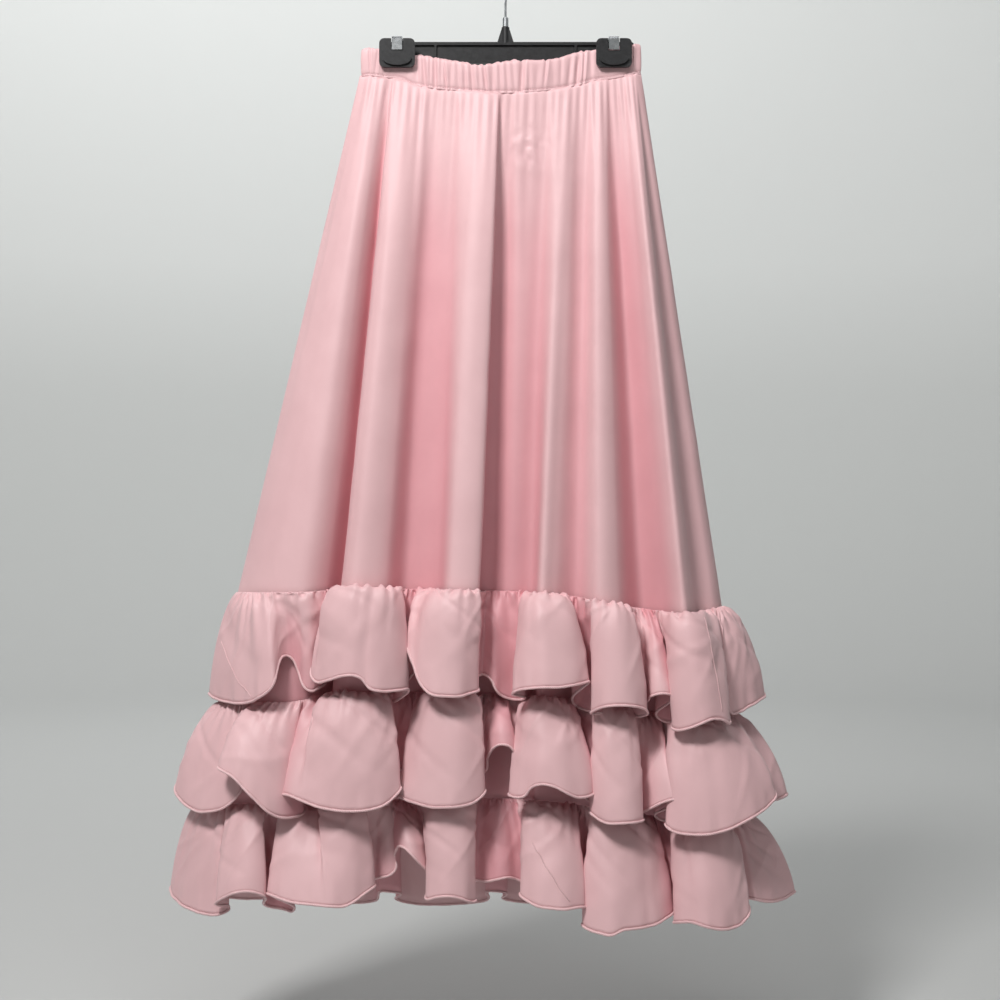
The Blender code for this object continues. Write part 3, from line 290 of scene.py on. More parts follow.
def body_station(index, q):
    """One fold line of the base at height q, in metres."""
    row = BODY[index]
    back = index > N_FRONT
    if back:
        out_w = BACK_WAIST_OUT - row["fold"] + 3.0 * smooth(1 - abs(row["waist"] - 505) / 150)
    else:
        out_w = column(WAIST, 0, row["waist"], 4) + 0.3 * row["fold"] - 0.7
    top = column(WAIST, 0, row["waist"], 2) + CASING_GAP
    flare = row["tier"] + (row["tier"] - row["waist"]) * LOWER_FLARE
    seam1 = column(SEAMS, 0, row["tier"], 1)
    seam2 = column(SEAMS, 0, row["tier"], 2)
    seam3 = column(SEAMS, 0, row["tier"], 3)
    if back:
        lower = BACK_SEAM_DROP * smooth(1 - abs(row["tier"] - 480) / 240)
        seam1, seam2, seam3 = seam1 + lower, seam2 + lower, seam3 + lower
    if q <= 1.0:
        across = row["waist"] + (row["tier"] - row["waist"]) * q
        out = out_w + (row["out"] - out_w) * q ** DEPTH_EASE
        down = top + (seam1 - top) * q
        if not back:
            out += crisp(row, q)
    else:
        s = (q - 1.0) / (Q_TIER[3] - 1.0)
        across = row["tier"] + (flare - row["tier"]) * s
        out = (row["out"] + (0.0 if back else crisp(row, 1.0))) * (1.0 - 0.10 * s)
        out -= DRAWN_IN * smooth((q - 1.0) / 0.03) * row["out"] / 70.0
        down = np.interp(q, [1.0, Q_TIER[2], Q_TIER[3]], [seam1, seam2, seam3])
    return place(across, down, out)


def body_loop(q, params):
    stations = [body_station(i, q) for i in range(N_BODY)]
    return loop_curve(stations, params)


def outward(points):
    """Unit normals in plan of a loop of points that runs left, front, right."""
    d = np.roll(points, -1, 0) - np.roll(points, 1, 0)
    n = np.stack([d[:, 1], -d[:, 0], np.zeros(len(d))], 1)
    return n / (np.linalg.norm(n, axis=1)[:, None] + 1e-12)


# heights of the rows that the base is built with
Q_ROWS = [0.0, 0.12, 0.30, 0.52, 0.76, 1.0, 1.21, 1.42]


# ---------------------------------------------------------------- ruffles
def seam_points(q, across, back):
    """Points of a tier seam: the base's nearest fold at each place across."""
    lo, hi = (N_FRONT, N_BODY) if back else (0, N_FRONT)
    grid = np.linspace(lo, hi, (hi - lo) * 16 + 1)
    pts = body_loop(q, grid)
    seen = pts[:, 0] / (UNIT * (1.0 + pts[:, 1] / EYE)) + AXIS_ACROSS
    found = []
    for u in across:
        s = seen - u
        hit = np.nonzero(s[:-1] * s[1:] <= 0.0)[0]
        if len(hit):
            i = hit[np.argmax(np.abs(pts[hit, 1]))]
            f = s[i] / (s[i] - s[i + 1]) if s[i] != s[i + 1] else 0.0
            found.append(grid[i] + (grid[i + 1] - grid[i]) * f)
        else:
            found.append(grid[int(np.argmin(np.abs(s)))])
    return np.array(found)


def ruffle_stations(tier):
    """Hem stations round the whole ruffle, where each hangs from, and puffs."""
    front = {1: TIER_1, 2: TIER_2, 3: TIER_3}[tier]
    q = Q_TIER[tier]
    ends = body_loop(q, [0.0, float(N_FRONT)])
    seen_l, seen_r = ends[:, 0] / (UNIT * (1.0 + ends[:, 1] / EYE)) + AXIS_ACROSS
    hem, head, puff = [], [], []
    for name, h0, h1, lift, stations in front:
        for j, (a, d, o) in enumerate(stations):
            f = j / (len(stations) - 1) if len(stations) > 1 else 0.5
            hem.append(place(a, d, o))
            head.append(h0 + (h1 - h0) * f)
            puff.append(lift)
    head[0], head[-1] = seen_l, seen_r
    n_front = len(hem) - 1
    left, right = front[0][4][0], front[-1][4][-1]
    mean, extra = BACK_HEM[tier]
    for name, h0, h1, lift, stations in BACK_LOBES:
        for j, (a, d, o) in enumerate(stations):
            f = j / (len(stations) - 1) if len(stations) > 1 else 0.5
            w = smooth(abs(a - 0.5) * 2.0)
            edge = left[1] + (right[1] - left[1]) * a
            down = (mean + extra * (1 - a)) * (1 - w) + edge * w + d
            hem.append(place(left[0] + (right[0] - left[0]) * a, down, o))
            h = h0 + (h1 - h0) * f
            head.append(seen_l + (seen_r - seen_l) * (h - 238.0) / (722.0 - 238.0))
            puff.append(lift)
    return np.array(hem), np.array(head), np.array(puff), n_front


def level_height(points):
    """Height of points as if the tier seams were level, to compare them."""
    across = points[..., 0] / UNIT + AXIS_ACROSS
    seam = np.interp(across, [r[0] for r in SEAMS], [r[1] for r in SEAMS])
    drop = BACK_SEAM_DROP * smooth(1 - np.abs(across - 480) / 240)
    return points[..., 2] + (seam + np.where(points[..., 1] > 0, drop, 0.0)) * UNIT


def envelope(ring):
    """How far the base stands out at each place across, front and back."""
    xs = np.linspace(-0.42, 0.38, 801)
    sides = []
    for face in (-1.0, 1.0):
        best = np.full(len(xs), -1.0)
        nxt = np.roll(ring, -1, 0)
        for p, q in zip(ring, nxt):
            if face * p[1] < 0 and face * q[1] < 0:
                continue
            lo, hi = sorted((p[0], q[0]))
            i, j = np.searchsorted(xs, lo), np.searchsorted(xs, hi, "right")
            if j > i:
                f = (xs[i:j] - p[0]) / (q[0] - p[0]) if q[0] != p[0] else 0.0
                best[i:j] = np.maximum(best[i:j], face * (p[1] + (q[1] - p[1]) * f))
        wide = np.max([np.roll(best, k) for k in range(-4, 5)], axis=0)
        kern = np.hanning(9)
        sides.append(np.convolve(wide, kern / kern.sum(), "same"))
    return xs, sides[0], sides[1], ring[:, 0].min(), ring[:, 0].max()


def keep_clear(points, levels, gap):
    """Push points off the base, in plan, to at least gap from it."""
    rings, envelopes = levels
    mean_z = np.array([level_height(lv).mean() for lv in rings])
    pos = np.interp(-level_height(points), -mean_z, np.arange(len(rings)))
    lo = np.clip(np.floor(pos).astype(int), 0, len(rings) - 2)
    w = pos - lo
    xs = envelopes[0][0]
    stack = np.stack(rings)
    lows, highs = np.array([e[3] for e in envelopes]), np.array([e[4] for e in envelopes])
    left = lows[lo] * (1 - w) + lows[lo + 1] * w
    right = highs[lo] * (1 - w) + highs[lo + 1] * w
    out = points.copy()
    gap = np.broadcast_to(gap, len(points))
    for side, face in ((1, -1.0), (2, 1.0)):
        table = np.stack([e[side] for e in envelopes])
        k = np.clip((out[:, 0] - xs[0]) / (xs[1] - xs[0]), 0, len(xs) - 1.001)
        i = k.astype(int)
        f = k - i
        at = ((table[lo, i] * (1 - f) + table[lo, i + 1] * f) * (1 - w)
              + (table[lo + 1, i] * (1 - f) + table[lo + 1, i + 1] * f) * w)
        inner = smooth((np.minimum(out[:, 0] - left, right - out[:, 0]) - 0.016) / 0.02)
        least = at + gap
        now = face * out[:, 1]
        push = (now > 0) & (now < least) & (inner > 0)
        out[:, 1] = np.where(push, face * (now + (least - now) * inner), out[:, 1])
    # near the side seams the nearest wall decides
    end = np.minimum(out[:, 0] - left, right - out[:, 0]) < 0.036
    for a in np.nonzero(end)[0]:
        poly = stack[lo[a]] * (1 - w[a]) + stack[lo[a] + 1] * w[a]
        d = np.roll(poly, -1, 0) - np.roll(poly, 1, 0)
        nrm = np.stack([d[:, 1], -d[:, 0]], -1)
        nrm /= np.linalg.norm(nrm, axis=-1)[:, None] + 1e-12
        rel = out[a, :2] - poly[:, :2]
        near = int(np.argmin((rel ** 2).sum(-1)))
        signed = float(rel[near] @ nrm[near])
        if signed < gap[a]:
            out[a, :2] += nrm[near] * (gap[a] - signed)
    return out


def seam_params(tier, params, head_s, n_front):
    """Base params that a ruffle's columns hang from."""
    n = len(head_s)
    across = np.interp(np.mod(params, n), np.arange(n + 1), np.append(head_s, head_s[0]))
    back = np.mod(params, n) > n_front
    found = np.zeros(len(params))
    for side in (False, True):
        pick = back == side
        if pick.any():
            found[pick] = seam_points(Q_TIER[tier], across[pick], side)
    return found


# ------------------------------------------------------------ cloth details
SHELL = 0.0006            # cloth of the skirt and ruffles
ROLL = 0.0016             # rolled hem's radius


def rng(seed):
    return np.random.default_rng(seed)


def bumps(x, seed, spacing, spread=0.45):
    """Uneven ridges along a length: a peak about every spacing, each with its
    own height, from -1 to 1, and smooth between."""
    r = rng(seed)
    lo, hi = float(np.min(x)) - 2 * spacing, float(np.max(x)) + 2 * spacing
    n = int((hi - lo) / spacing) * 2 + 6
    steps = 0.5 * spacing * (1 + spread * r.uniform(-1, 1, n))
    at = lo + np.cumsum(steps)
    height = np.where(np.arange(n) % 2 == 0, 1.0, -1.0) * r.uniform(0.35, 1.0, n)
    i = np.clip(np.searchsorted(at, x) - 1, 0, n - 2)
    f = smooth((x - at[i]) / (at[i + 1] - at[i]))
    return height[i] * (1 - f) + height[i + 1] * f


def value_noise(u, v, seed):
    """Smooth 2-D noise from -1 to 1."""
    r = rng(seed)
    table = r.uniform(-1, 1, (256, 256))
    iu, iv = np.floor(u).astype(int), np.floor(v).astype(int)
    fu, fv = smooth(u - iu), smooth(v - iv)
    a = table[iu % 256, iv % 256]
    b = table[(iu + 1) % 256, iv % 256]
    c = table[iu % 256, (iv + 1) % 256]
    d = table[(iu + 1) % 256, (iv + 1) % 256]
    return (a * (1 - fu) + b * fu) * (1 - fv) + (c * (1 - fu) + d * fu) * fv


def grid_normals(g, closed=False):
    if closed:
        du = np.roll(g, -1, 1) - np.roll(g, 1, 1)
    else:
        du = np.gradient(g, axis=1)
    dv = np.gradient(g, axis=0)
    n = np.cross(dv, du)
    return n / (np.linalg.norm(n, axis=2)[..., None] + 1e-12)


def lengths(g, closed=False):
    """Distance along the rows and down the columns, in metres, as UVs."""
    du = np.linalg.norm(np.diff(g, axis=1), axis=2)
    dv = np.linalg.norm(np.diff(g, axis=0), axis=2)
    mid = np.concatenate([[0.0], np.cumsum(du.mean(0))])
    down = np.concatenate([[0.0], np.cumsum(dv.mean(1))])
    u = np.repeat(mid[None], g.shape[0], 0)
    v = np.repeat(down[:, None], g.shape[1], 1)
    return u, v


def painted_fold_shade(g, reach=0.10, full=0.030):
    """How far each point lies behind the folds on both its sides, 0 to 1: the mask of painted shade in the fold
    valleys.
    """
    u, _ = lengths(g)
    nc = g.shape[1]
    front = g[..., 1].mean() < MIDDLE_DEPTH
    h = -g[..., 1] if front else g[..., 1].copy()
    w = max(4, int(nc * reach / max(u[0, -1], 0.05)))
    left, right = h.copy(), h.copy()
    for k in range(1, min(w, nc - 1)):
        left[:, k:] = np.maximum(left[:, k:], h[:, :-k])
        right[:, :-k] = np.maximum(right[:, :-k], h[:, k:])
    return smooth((np.minimum(left, right) - h) / full)


def finish_mesh(name, verts, faces, uvs, mat, painted_shade=None):
    mesh = bpy.data.meshes.new(name)
    mesh.vertices.add(len(verts))
    mesh.vertices.foreach_set("co", np.asarray(verts, np.float32).ravel())
    faces = np.asarray(faces, np.int32)
    mesh.loops.add(faces.size)
    mesh.loops.foreach_set("vertex_index", faces.ravel())
    mesh.polygons.add(len(faces))
    mesh.polygons.foreach_set("loop_start", np.arange(len(faces), dtype=np.int32) * faces.shape[1])
    mesh.update(calc_edges=True)
    # painted shade: the mask of painted fold shade is stored on the points for the cloth's colour
    if painted_shade is not None:
        mesh.attributes.new("painted_fold_shade", "FLOAT", "POINT").data.foreach_set("value", np.asarray(painted_shade, np.float32))
    layer = mesh.uv_layers.new(name="cut")
    layer.uv.foreach_set("vector", np.asarray(uvs, np.float32)[faces.ravel()].ravel())
    mesh.validate()
    mesh.shade_smooth()
    obj = bpy.data.objects.new(name, mesh)
    bpy.context.scene.collection.objects.link(obj)
    mesh.materials.append(mat)
    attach(obj, "root")
    return obj


def shell(name, g, mat, thick=SHELL, closed=False, shade_under_ruffles=0.0):
    """A thin closed shell: its outer face is the grid, rows from top to
    bottom and columns to the right."""
    nr, nc, _ = g.shape
    n = grid_normals(g, closed)
    inner = g - n * thick
    verts = np.concatenate([g.reshape(-1, 3), inner.reshape(-1, 3)])
    u, v = lengths(g, closed)
    uv = np.stack([u.ravel(), v.ravel()], 1)
    uvs = np.concatenate([uv, uv])
    off = nr * nc
    r, c = np.meshgrid(np.arange(nr - 1), np.arange(nc if closed else nc - 1), indexing="ij")
    a = r * nc + c
    b = r * nc + (c + 1) % nc
    d, e = a + nc, b + nc
    faces = [np.stack([a, d, e, b], -1).reshape(-1, 4),
             np.stack([off + a, off + b, off + e, off + d], -1).reshape(-1, 4)]
    cc = np.arange(nc if closed else nc - 1)
    a, b = cc, (cc + 1) % nc
    faces.append(np.stack([a, b, off + b, off + a], -1))
    a, b = (nr - 1) * nc + cc, (nr - 1) * nc + (cc + 1) % nc
    faces.append(np.stack([b, a, off + a, off + b], -1))
    if not closed:
        rr = np.arange(nr - 1)
        a, d = rr * nc, (rr + 1) * nc
        faces.append(np.stack([a, off + a, off + d, d], -1))
        a, d = rr * nc + nc - 1, (rr + 1) * nc + nc - 1
        faces.append(np.stack([a, d, off + d, off + a], -1))
    # painted shade: deepest in the fold valleys, and where the base lies under the ruffles
    painted_shade = np.maximum(painted_fold_shade(g), shade_under_ruffles).ravel()
    return finish_mesh(name, verts, np.concatenate(faces), uvs, mat, np.concatenate([painted_shade, painted_shade]))


def tube(name, path, radius, mat, sides=8, closed=False):
    """A round roll along a path, with a frame carried along it."""
    path = np.asarray(path, float)
    n = len(path)
    t = np.gradient(path, axis=0)
    t /= np.linalg.norm(t, axis=1)[:, None] + 1e-12
    side = np.cross(t[0], [0.0, 0.0, 1.0])
    side /= np.linalg.norm(side) + 1e-12
    rings, radius = [], np.broadcast_to(radius, n)
    length = np.concatenate([[0.0], np.cumsum(np.linalg.norm(np.diff(path, axis=0), axis=1))])
    for i in range(n):
        side = side - t[i] * np.dot(side, t[i])
        side /= np.linalg.norm(side) + 1e-12
        up = np.cross(side, t[i])
        a = np.arange(sides) * 2 * pi / sides
        rings.append(path[i] + radius[i] * (np.cos(a)[:, None] * side + np.sin(a)[:, None] * up))
    verts = np.array(rings).reshape(-1, 3)
    uvs = np.stack([np.repeat(length, sides), np.tile(np.arange(sides) * 2 * pi / sides * 0.0016, n)], 1)
    i, k = np.meshgrid(np.arange(n - 1), np.arange(sides), indexing="ij")
    a = i * sides + k
    b = i * sides + (k + 1) % sides
    faces = [np.stack([a, b, b + sides, a + sides], -1).reshape(-1, 4)]
    # round off the ends with one more point each
    verts = np.concatenate([verts, [path[0] - t[0] * radius[0] * 0.6, path[-1] + t[-1] * radius[-1] * 0.6]])
    uvs = np.concatenate([uvs, [[0.0, 0.0], [length[-1], 0.0]]])
    first, last = n * sides, n * sides + 1
    kk = np.arange(0, sides, 2)
    faces.append(np.stack([np.full(len(kk), first), (kk + 2) % sides, (kk + 1) % sides, kk], -1))
    base = (n - 1) * sides
    faces.append(np.stack([np.full(len(kk), last), base + kk, base + (kk + 1) % sides, base + (kk + 2) % sides], -1))
    return finish_mesh(name, verts, np.concatenate(faces), uvs, mat)


# ----------------------------------------------------------------- finishes
def nodes_of(mat):
    mat.use_nodes = True
    nt = mat.node_tree
    nt.nodes.clear()
    out = nt.nodes.new("ShaderNodeOutputMaterial")
    bsdf = nt.nodes.new("ShaderNodeBsdfPrincipled")
    nt.links.new(bsdf.outputs["BSDF"], out.inputs["Surface"])
    return nt, bsdf


def new_node(nt, kind, **values):
    n = nt.nodes.new(kind)
    for k, v in values.items():
        if k in n.inputs:
            n.inputs[k].default_value = v
        else:
            setattr(n, k, v)
    return n


def ramp(nt, stops, source):
    n = nt.nodes.new("ShaderNodeValToRGB")
    while len(n.color_ramp.elements) < len(stops):
        n.color_ramp.elements.new(0.5)
    for e, (at, colour) in zip(n.color_ramp.elements, stops):
        e.position = at
        e.color = (*colour, 1.0)
    nt.links.new(source, n.inputs["Fac"])
    return n


# painted shade: colour factor that darkens and deepens the rose where the cloth lies in fold valleys or under ruffles
PAINTED_FOLD_SHADE_TINT = (0.94, 0.73, 0.77)
MIDDLE_DEPTH = 0.0


def cloth_finish(name, pale, deep, weave=0.0007, strength=0.12, roll=False):
    """Soft satin-faced crepe: a fine weave, slight mottling and a sheen, with painted shade that deepens its rose in
    the fold valleys and under the ruffles.
    """
    mat = bpy.data.materials.new(name)
    nt, bsdf = nodes_of(mat)
    uv = new_node(nt, "ShaderNodeUVMap", uv_map="cut")
    obj = new_node(nt, "ShaderNodeTexCoord")
    mottle = new_node(nt, "ShaderNodeTexNoise", Scale=14.0, Detail=4.0, Roughness=0.6)
    nt.links.new(obj.outputs["Object"], mottle.inputs["Vector"])
    colour = ramp(nt, [(0.30, deep), (0.70, pale)], mottle.outputs["Fac"])
    # painted shade: in the fold valleys and under the ruffles the colour is mixed toward a deeper rose, standing in
    # for light that has bounced between the folds
    painted_shade_colour = ramp(nt, [(0.30, tuple(c * t for c, t in zip(deep, PAINTED_FOLD_SHADE_TINT))),
                     (0.70, tuple(c * t for c, t in zip(pale, PAINTED_FOLD_SHADE_TINT)))], mottle.outputs["Fac"])
    painted_shade_attr = new_node(nt, "ShaderNodeAttribute")
    painted_shade_attr.attribute_type = "GEOMETRY"
    painted_shade_attr.attribute_name = "painted_fold_shade"
    painted_shade_mix = nt.nodes.new("ShaderNodeMix")
    painted_shade_mix.data_type = "RGBA"
    nt.links.new(painted_shade_attr.outputs["Fac"], painted_shade_mix.inputs[0])
    nt.links.new(colour.outputs["Color"], painted_shade_mix.inputs[6])
    nt.links.new(painted_shade_colour.outputs["Color"], painted_shade_mix.inputs[7])
    nt.links.new(painted_shade_mix.outputs[2], bsdf.inputs["Base Color"])
    warp = new_node(nt, "ShaderNodeTexWave", wave_type="BANDS", bands_direction="X", Scale=2 * pi / 20.0 / weave)
    warp.inputs["Distortion"].default_value = 0.6
    warp.inputs["Detail"].default_value = 1.0
    weft = new_node(nt, "ShaderNodeTexWave", wave_type="BANDS", bands_direction="Y", Scale=2 * pi / 20.0 / weave)
    weft.inputs["Distortion"].default_value = 0.6
    weft.inputs["Detail"].default_value = 1.0
    nt.links.new(uv.outputs["UV"], warp.inputs["Vector"])
    nt.links.new(uv.outputs["UV"], weft.inputs["Vector"])
    both = new_node(nt, "ShaderNodeMath", operation="MULTIPLY")
    nt.links.new(warp.outputs["Fac"], both.inputs[0])
    nt.links.new(weft.outputs["Fac"], both.inputs[1])
    soft = new_node(nt, "ShaderNodeTexNoise", Scale=60.0, Detail=3.0)
    nt.links.new(obj.outputs["Object"], soft.inputs["Vector"])
    bump2 = new_node(nt, "ShaderNodeBump", Strength=0.10, Distance=0.0012)
    nt.links.new(soft.outputs["Fac"], bump2.inputs["Height"])
    bump = new_node(nt, "ShaderNodeBump", Strength=strength, Distance=0.00025)
    nt.links.new(both.outputs["Value"], bump.inputs["Height"])
    nt.links.new(bump2.outputs["Normal"], bump.inputs["Normal"])
    nt.links.new(bump.outputs["Normal"], bsdf.inputs["Normal"])
    if roll:
        thread = new_node(nt, "ShaderNodeTexWave", wave_type="BANDS", bands_direction="DIAGONAL", Scale=2 * pi / 20.0 / 0.0013)
        nt.links.new(uv.outputs["UV"], thread.inputs["Vector"])
        nt.links.new(thread.outputs["Fac"], bump.inputs["Height"])
        bump.inputs["Strength"].default_value = 0.55
        bump.inputs["Distance"].default_value = 0.0006
    rough = new_node(nt, "ShaderNodeMapRange")
    nt.links.new(mottle.outputs["Fac"], rough.inputs["Value"])
    rough.inputs["To Min"].default_value = 0.44
    rough.inputs["To Max"].default_value = 0.54
    nt.links.new(rough.outputs["Result"], bsdf.inputs["Roughness"])
    bsdf.inputs["Sheen Weight"].default_value = 0.12
    bsdf.inputs["Sheen Roughness"].default_value = 0.50
    bsdf.inputs["Sheen Tint"].default_value = (1.0, 0.92, 0.95, 1.0)
    bsdf.inputs["Specular IOR Level"].default_value = 0.40
    return mat


def plain_finish(name, pale, deep, rough, metallic=0.0, scale=120.0, grain=0.06, distance=0.0003):
    mat = bpy.data.materials.new(name)
    nt, bsdf = nodes_of(mat)
    obj = new_node(nt, "ShaderNodeTexCoord")
    noise = new_node(nt, "ShaderNodeTexNoise", Scale=scale, Detail=5.0, Roughness=0.6)
    nt.links.new(obj.outputs["Object"], noise.inputs["Vector"])
    colour = ramp(nt, [(0.35, deep), (0.65, pale)], noise.outputs["Fac"])
    nt.links.new(colour.outputs["Color"], bsdf.inputs["Base Color"])
    spread = new_node(nt, "ShaderNodeMapRange")
    nt.links.new(noise.outputs["Fac"], spread.inputs["Value"])
    spread.inputs["To Min"].default_value = rough[0]
    spread.inputs["To Max"].default_value = rough[1]
    nt.links.new(spread.outputs["Result"], bsdf.inputs["Roughness"])
    bump = new_node(nt, "ShaderNodeBump", Strength=grain, Distance=distance)
    nt.links.new(noise.outputs["Fac"], bump.inputs["Height"])
    nt.links.new(bump.outputs["Normal"], bsdf.inputs["Normal"])
    bsdf.inputs["Metallic"].default_value = metallic
    return mat


CLOTH_MAT = cloth_finish("rose_crepe", (0.780, 0.500, 0.518), (0.735, 0.462, 0.480))
ROLL_MAT = cloth_finish("rose_rolled_hem", (0.840, 0.560, 0.575), (0.790, 0.520, 0.535), roll=True)
THREAD_MAT = plain_finish("rose_thread", (0.86, 0.58, 0.61), (0.78, 0.50, 0.53), (0.45, 0.6), scale=900.0, grain=0.3)
PLASTIC_MAT = plain_finish("black_moulding", (0.020, 0.020, 0.022), (0.012, 0.012, 0.013), (0.30, 0.46), scale=260.0, grain=0.10)
STEEL_MAT = plain_finish("bright_steel", (0.66, 0.68, 0.70), (0.52, 0.54, 0.56), (0.20, 0.34), metallic=1.0, scale=90.0, grain=0.01, distance=0.0001)


# ---------------------------------------------------------------- the base
# gathers below the casing: across at the waist, half width, depth in mm, how
# far down they run (1 = the first tier's seam)
WAIST_GATHERS = [
    (366, 1.6, 1.6, 0.16), (373, 1.8, 2.0, 0.22), (380, 1.6, 1.6, 0.14), (388, 2.0, 2.4, 0.30),
    (397, 1.6, 1.8, 0.12), (404, 2.2, 2.2, 0.26), (413, 1.8, 2.0, 0.16), (421, 2.0, 2.6, 0.34),
    (431, 1.8, 1.8, 0.14), (438, 2.2, 2.4, 0.24), (447, 1.8, 1.8, 0.12), (455, 2.4, 2.6, 0.30),
    (466, 1.8, 1.6, 0.12), (474, 2.2, 2.2, 0.22), (483, 1.8, 2.4, 0.18), (492, 2.2, 2.0, 0.30),
    (503, 1.8, 2.4, 0.16), (511, 2.2, 2.4, 0.26), (520, 1.8, 1.8, 0.12), (529, 2.2, 2.6, 0.28),
    (538, 1.8, 1.8, 0.14), (547, 2.0, 2.0, 0.24), (555, 1.8, 2.0, 0.12), (563, 2.2, 2.6, 0.30),
    (573, 1.6, 1.8, 0.14), (580, 1.8, 2.2, 0.26), (588, 1.6, 2.0, 0.16), (595, 1.8, 2.4, 0.34),
    (603, 1.4, 2.0, 0.18), (609, 1.6, 2.4, 0.38), (616, 1.4, 2.0, 0.20), (622, 1.4, 2.2, 0.34),
    (628, 1.2, 1.8, 0.20), (633, 1.2, 1.6, 0.28),
]


def waist_across(params):
    marks = np.array([r["waist"] for r in BODY] + [BODY[0]["waist"]], float)
    return np.interp(np.mod(params, N_BODY), np.arange(N_BODY + 1), marks)


def base_grid(first, last, n_cols, back):
    """Fine surface of a base panel, with gathers and soft creases."""
    probe = np.linspace(first, last, 1200)
    ring = body_loop(1.0, probe)
    run = np.concatenate([[0.0], np.cumsum(np.linalg.norm(np.diff(ring, axis=0), axis=1))])
    cols = np.interp(np.linspace(0, run[-1], n_cols), run, probe)
    if back:
        qs = np.concatenate([np.linspace(0, 0.12, 14)[:-1], np.linspace(0.12, 1.0, 54)[:-1],
                             [1.0, 1.004, 1.010, 1.018, 1.030], np.linspace(1.05, 1.42, 12)])
    else:
        qs = np.concatenate([np.linspace(0, 0.12, 20)[:-1], np.linspace(0.12, 1.0, 78)[:-1],
                             [1.0, 1.004, 1.010, 1.018, 1.030], np.linspace(1.05, 1.42, 14)])
    g = np.array([body_loop(q, cols) for q in qs])
    n = grid_normals(g)
    at = waist_across(cols)
    run_c = np.interp(cols, probe, run)
    q = qs[:, None]
    move = np.zeros(g.shape[:2])
    for i, (centre, half, deep, reach) in enumerate(WAIST_GATHERS):
        if back:
            centre = 1001.0 - centre + 1.5 * sin(i * 2.3)
            reach = reach * (0.8 + 0.4 * abs(sin(i * 1.7)))
        fade = 1.0 - smooth(q / (reach * 2.2))
        wide = half * (1.15 + 0.9 * q / reach)
        move += -0.95 * deep * np.exp(-0.5 * ((at[None] - centre) / wide) ** 2) * fade
        move += 0.60 * deep * np.exp(-0.5 * ((at[None] - centre - 2.4 * half) / (wide * 1.2)) ** 2) * fade
    move *= 0.30 + 0.70 * smooth(q / 0.035)
    # long soft creases that follow the grain
    seed = 40 if back else 10
    env = smooth(q / 0.3) * (1 - 0.4 * smooth((q - 0.8) / 0.4))
    move += env * 1.1 * bumps(run_c, seed, 0.075)[None] * (0.6 + 0.4 * value_noise(run_c[None] * 9 + q * 0.3, q * 2.2, seed + 1))
    move += env * 0.30 * bumps(run_c, seed + 2, 0.034)[None] * smooth(0.5 + value_noise(run_c[None] * 12, q * 3.5, seed + 3))
    move += 0.35 * value_noise(run_c[None] * 26 + q * 2, q * 16, seed + 4)
    if not back:
        # a small crumpled patch below the casing, right of the middle
        across = g[..., 0] / (UNIT * (1.0 + g[..., 1] / EYE)) + AXIS_ACROSS
        down = EYE_DOWN - (g[..., 2] + (HOOK_ABOVE + EYE_DOWN) * UNIT) / (UNIT * (1.0 + g[..., 1] / EYE))
        mask = np.exp(-((across - 532) / 20) ** 2 - ((down - 152) / 24) ** 2)
        c, d = across * 0.13, down * 0.11
        crumple = np.abs(value_noise(c + 0.6 * d, d - 0.4 * c, 77)) - 0.35 + 0.5 * value_noise(c * 2.1, d * 2.0, 78)
        move += mask * 2.6 * crumple
    # flat where a ruffle is sewn on, and the seams stay where they are
    move = move * (1.0 - 0.75 * np.exp(-((q - 1.0) / 0.03) ** 2)) * (1.0 - 0.6 * smooth((q - 1.0) / 0.05))
    hold = smooth(np.minimum(cols - first, last - cols) / 0.35)[None]
    g = g + n * (move * (0.15 + 0.85 * hold) * 0.001)[..., None]
    # painted shade: the second value darkens the base's colour where it hangs beneath the ruffles
    return g, 0.9 * smooth((q - 1.03) / 0.05)


def build_base():
    front, below = base_grid(0, N_FRONT, 330, False)
    back, shade_under_ruffles_back = base_grid(N_FRONT, N_BODY, 200, True)
    # painted shade: below and its back twin darken the hidden base under the ruffles
    a = shell("cloth_skirt_front", front, CLOTH_MAT, shade_under_ruffles=below)
    b = shell("cloth_skirt_back", back, CLOTH_MAT, shade_under_ruffles=shade_under_ruffles_back)
    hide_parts("skirt_front")
    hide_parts("skirt_back")
    return a, b


# -------------------------------------------------------------- the casing
# narrow pinches of the elastic casing: across, depth in mm
PINCHES = [
    (370, 0.7), (377, 1.0), (384, 1.6), (391, 0.7), (398, 0.6), (407, 0.8), (417, 1.2), (424, 2.0), (430, 1.4),
    (435, 1.8), (441, 1.6), (445, 1.4), (451, 1.2), (458, 2.0), (465, 1.3), (472, 1.7), (479, 1.2), (485, 2.0),
    (493, 1.4), (500, 2.1), (507, 1.3), (514, 1.8), (522, 2.0), (529, 1.8), (537, 1.4), (545, 1.9), (553, 1.3),
    (561, 1.7), (570, 2.0), (578, 1.9), (584, 1.7), (591, 0.9), (600, 0.6), (609, 0.6), (618, 0.8), (626, 1.4), (632, 1.2),
]


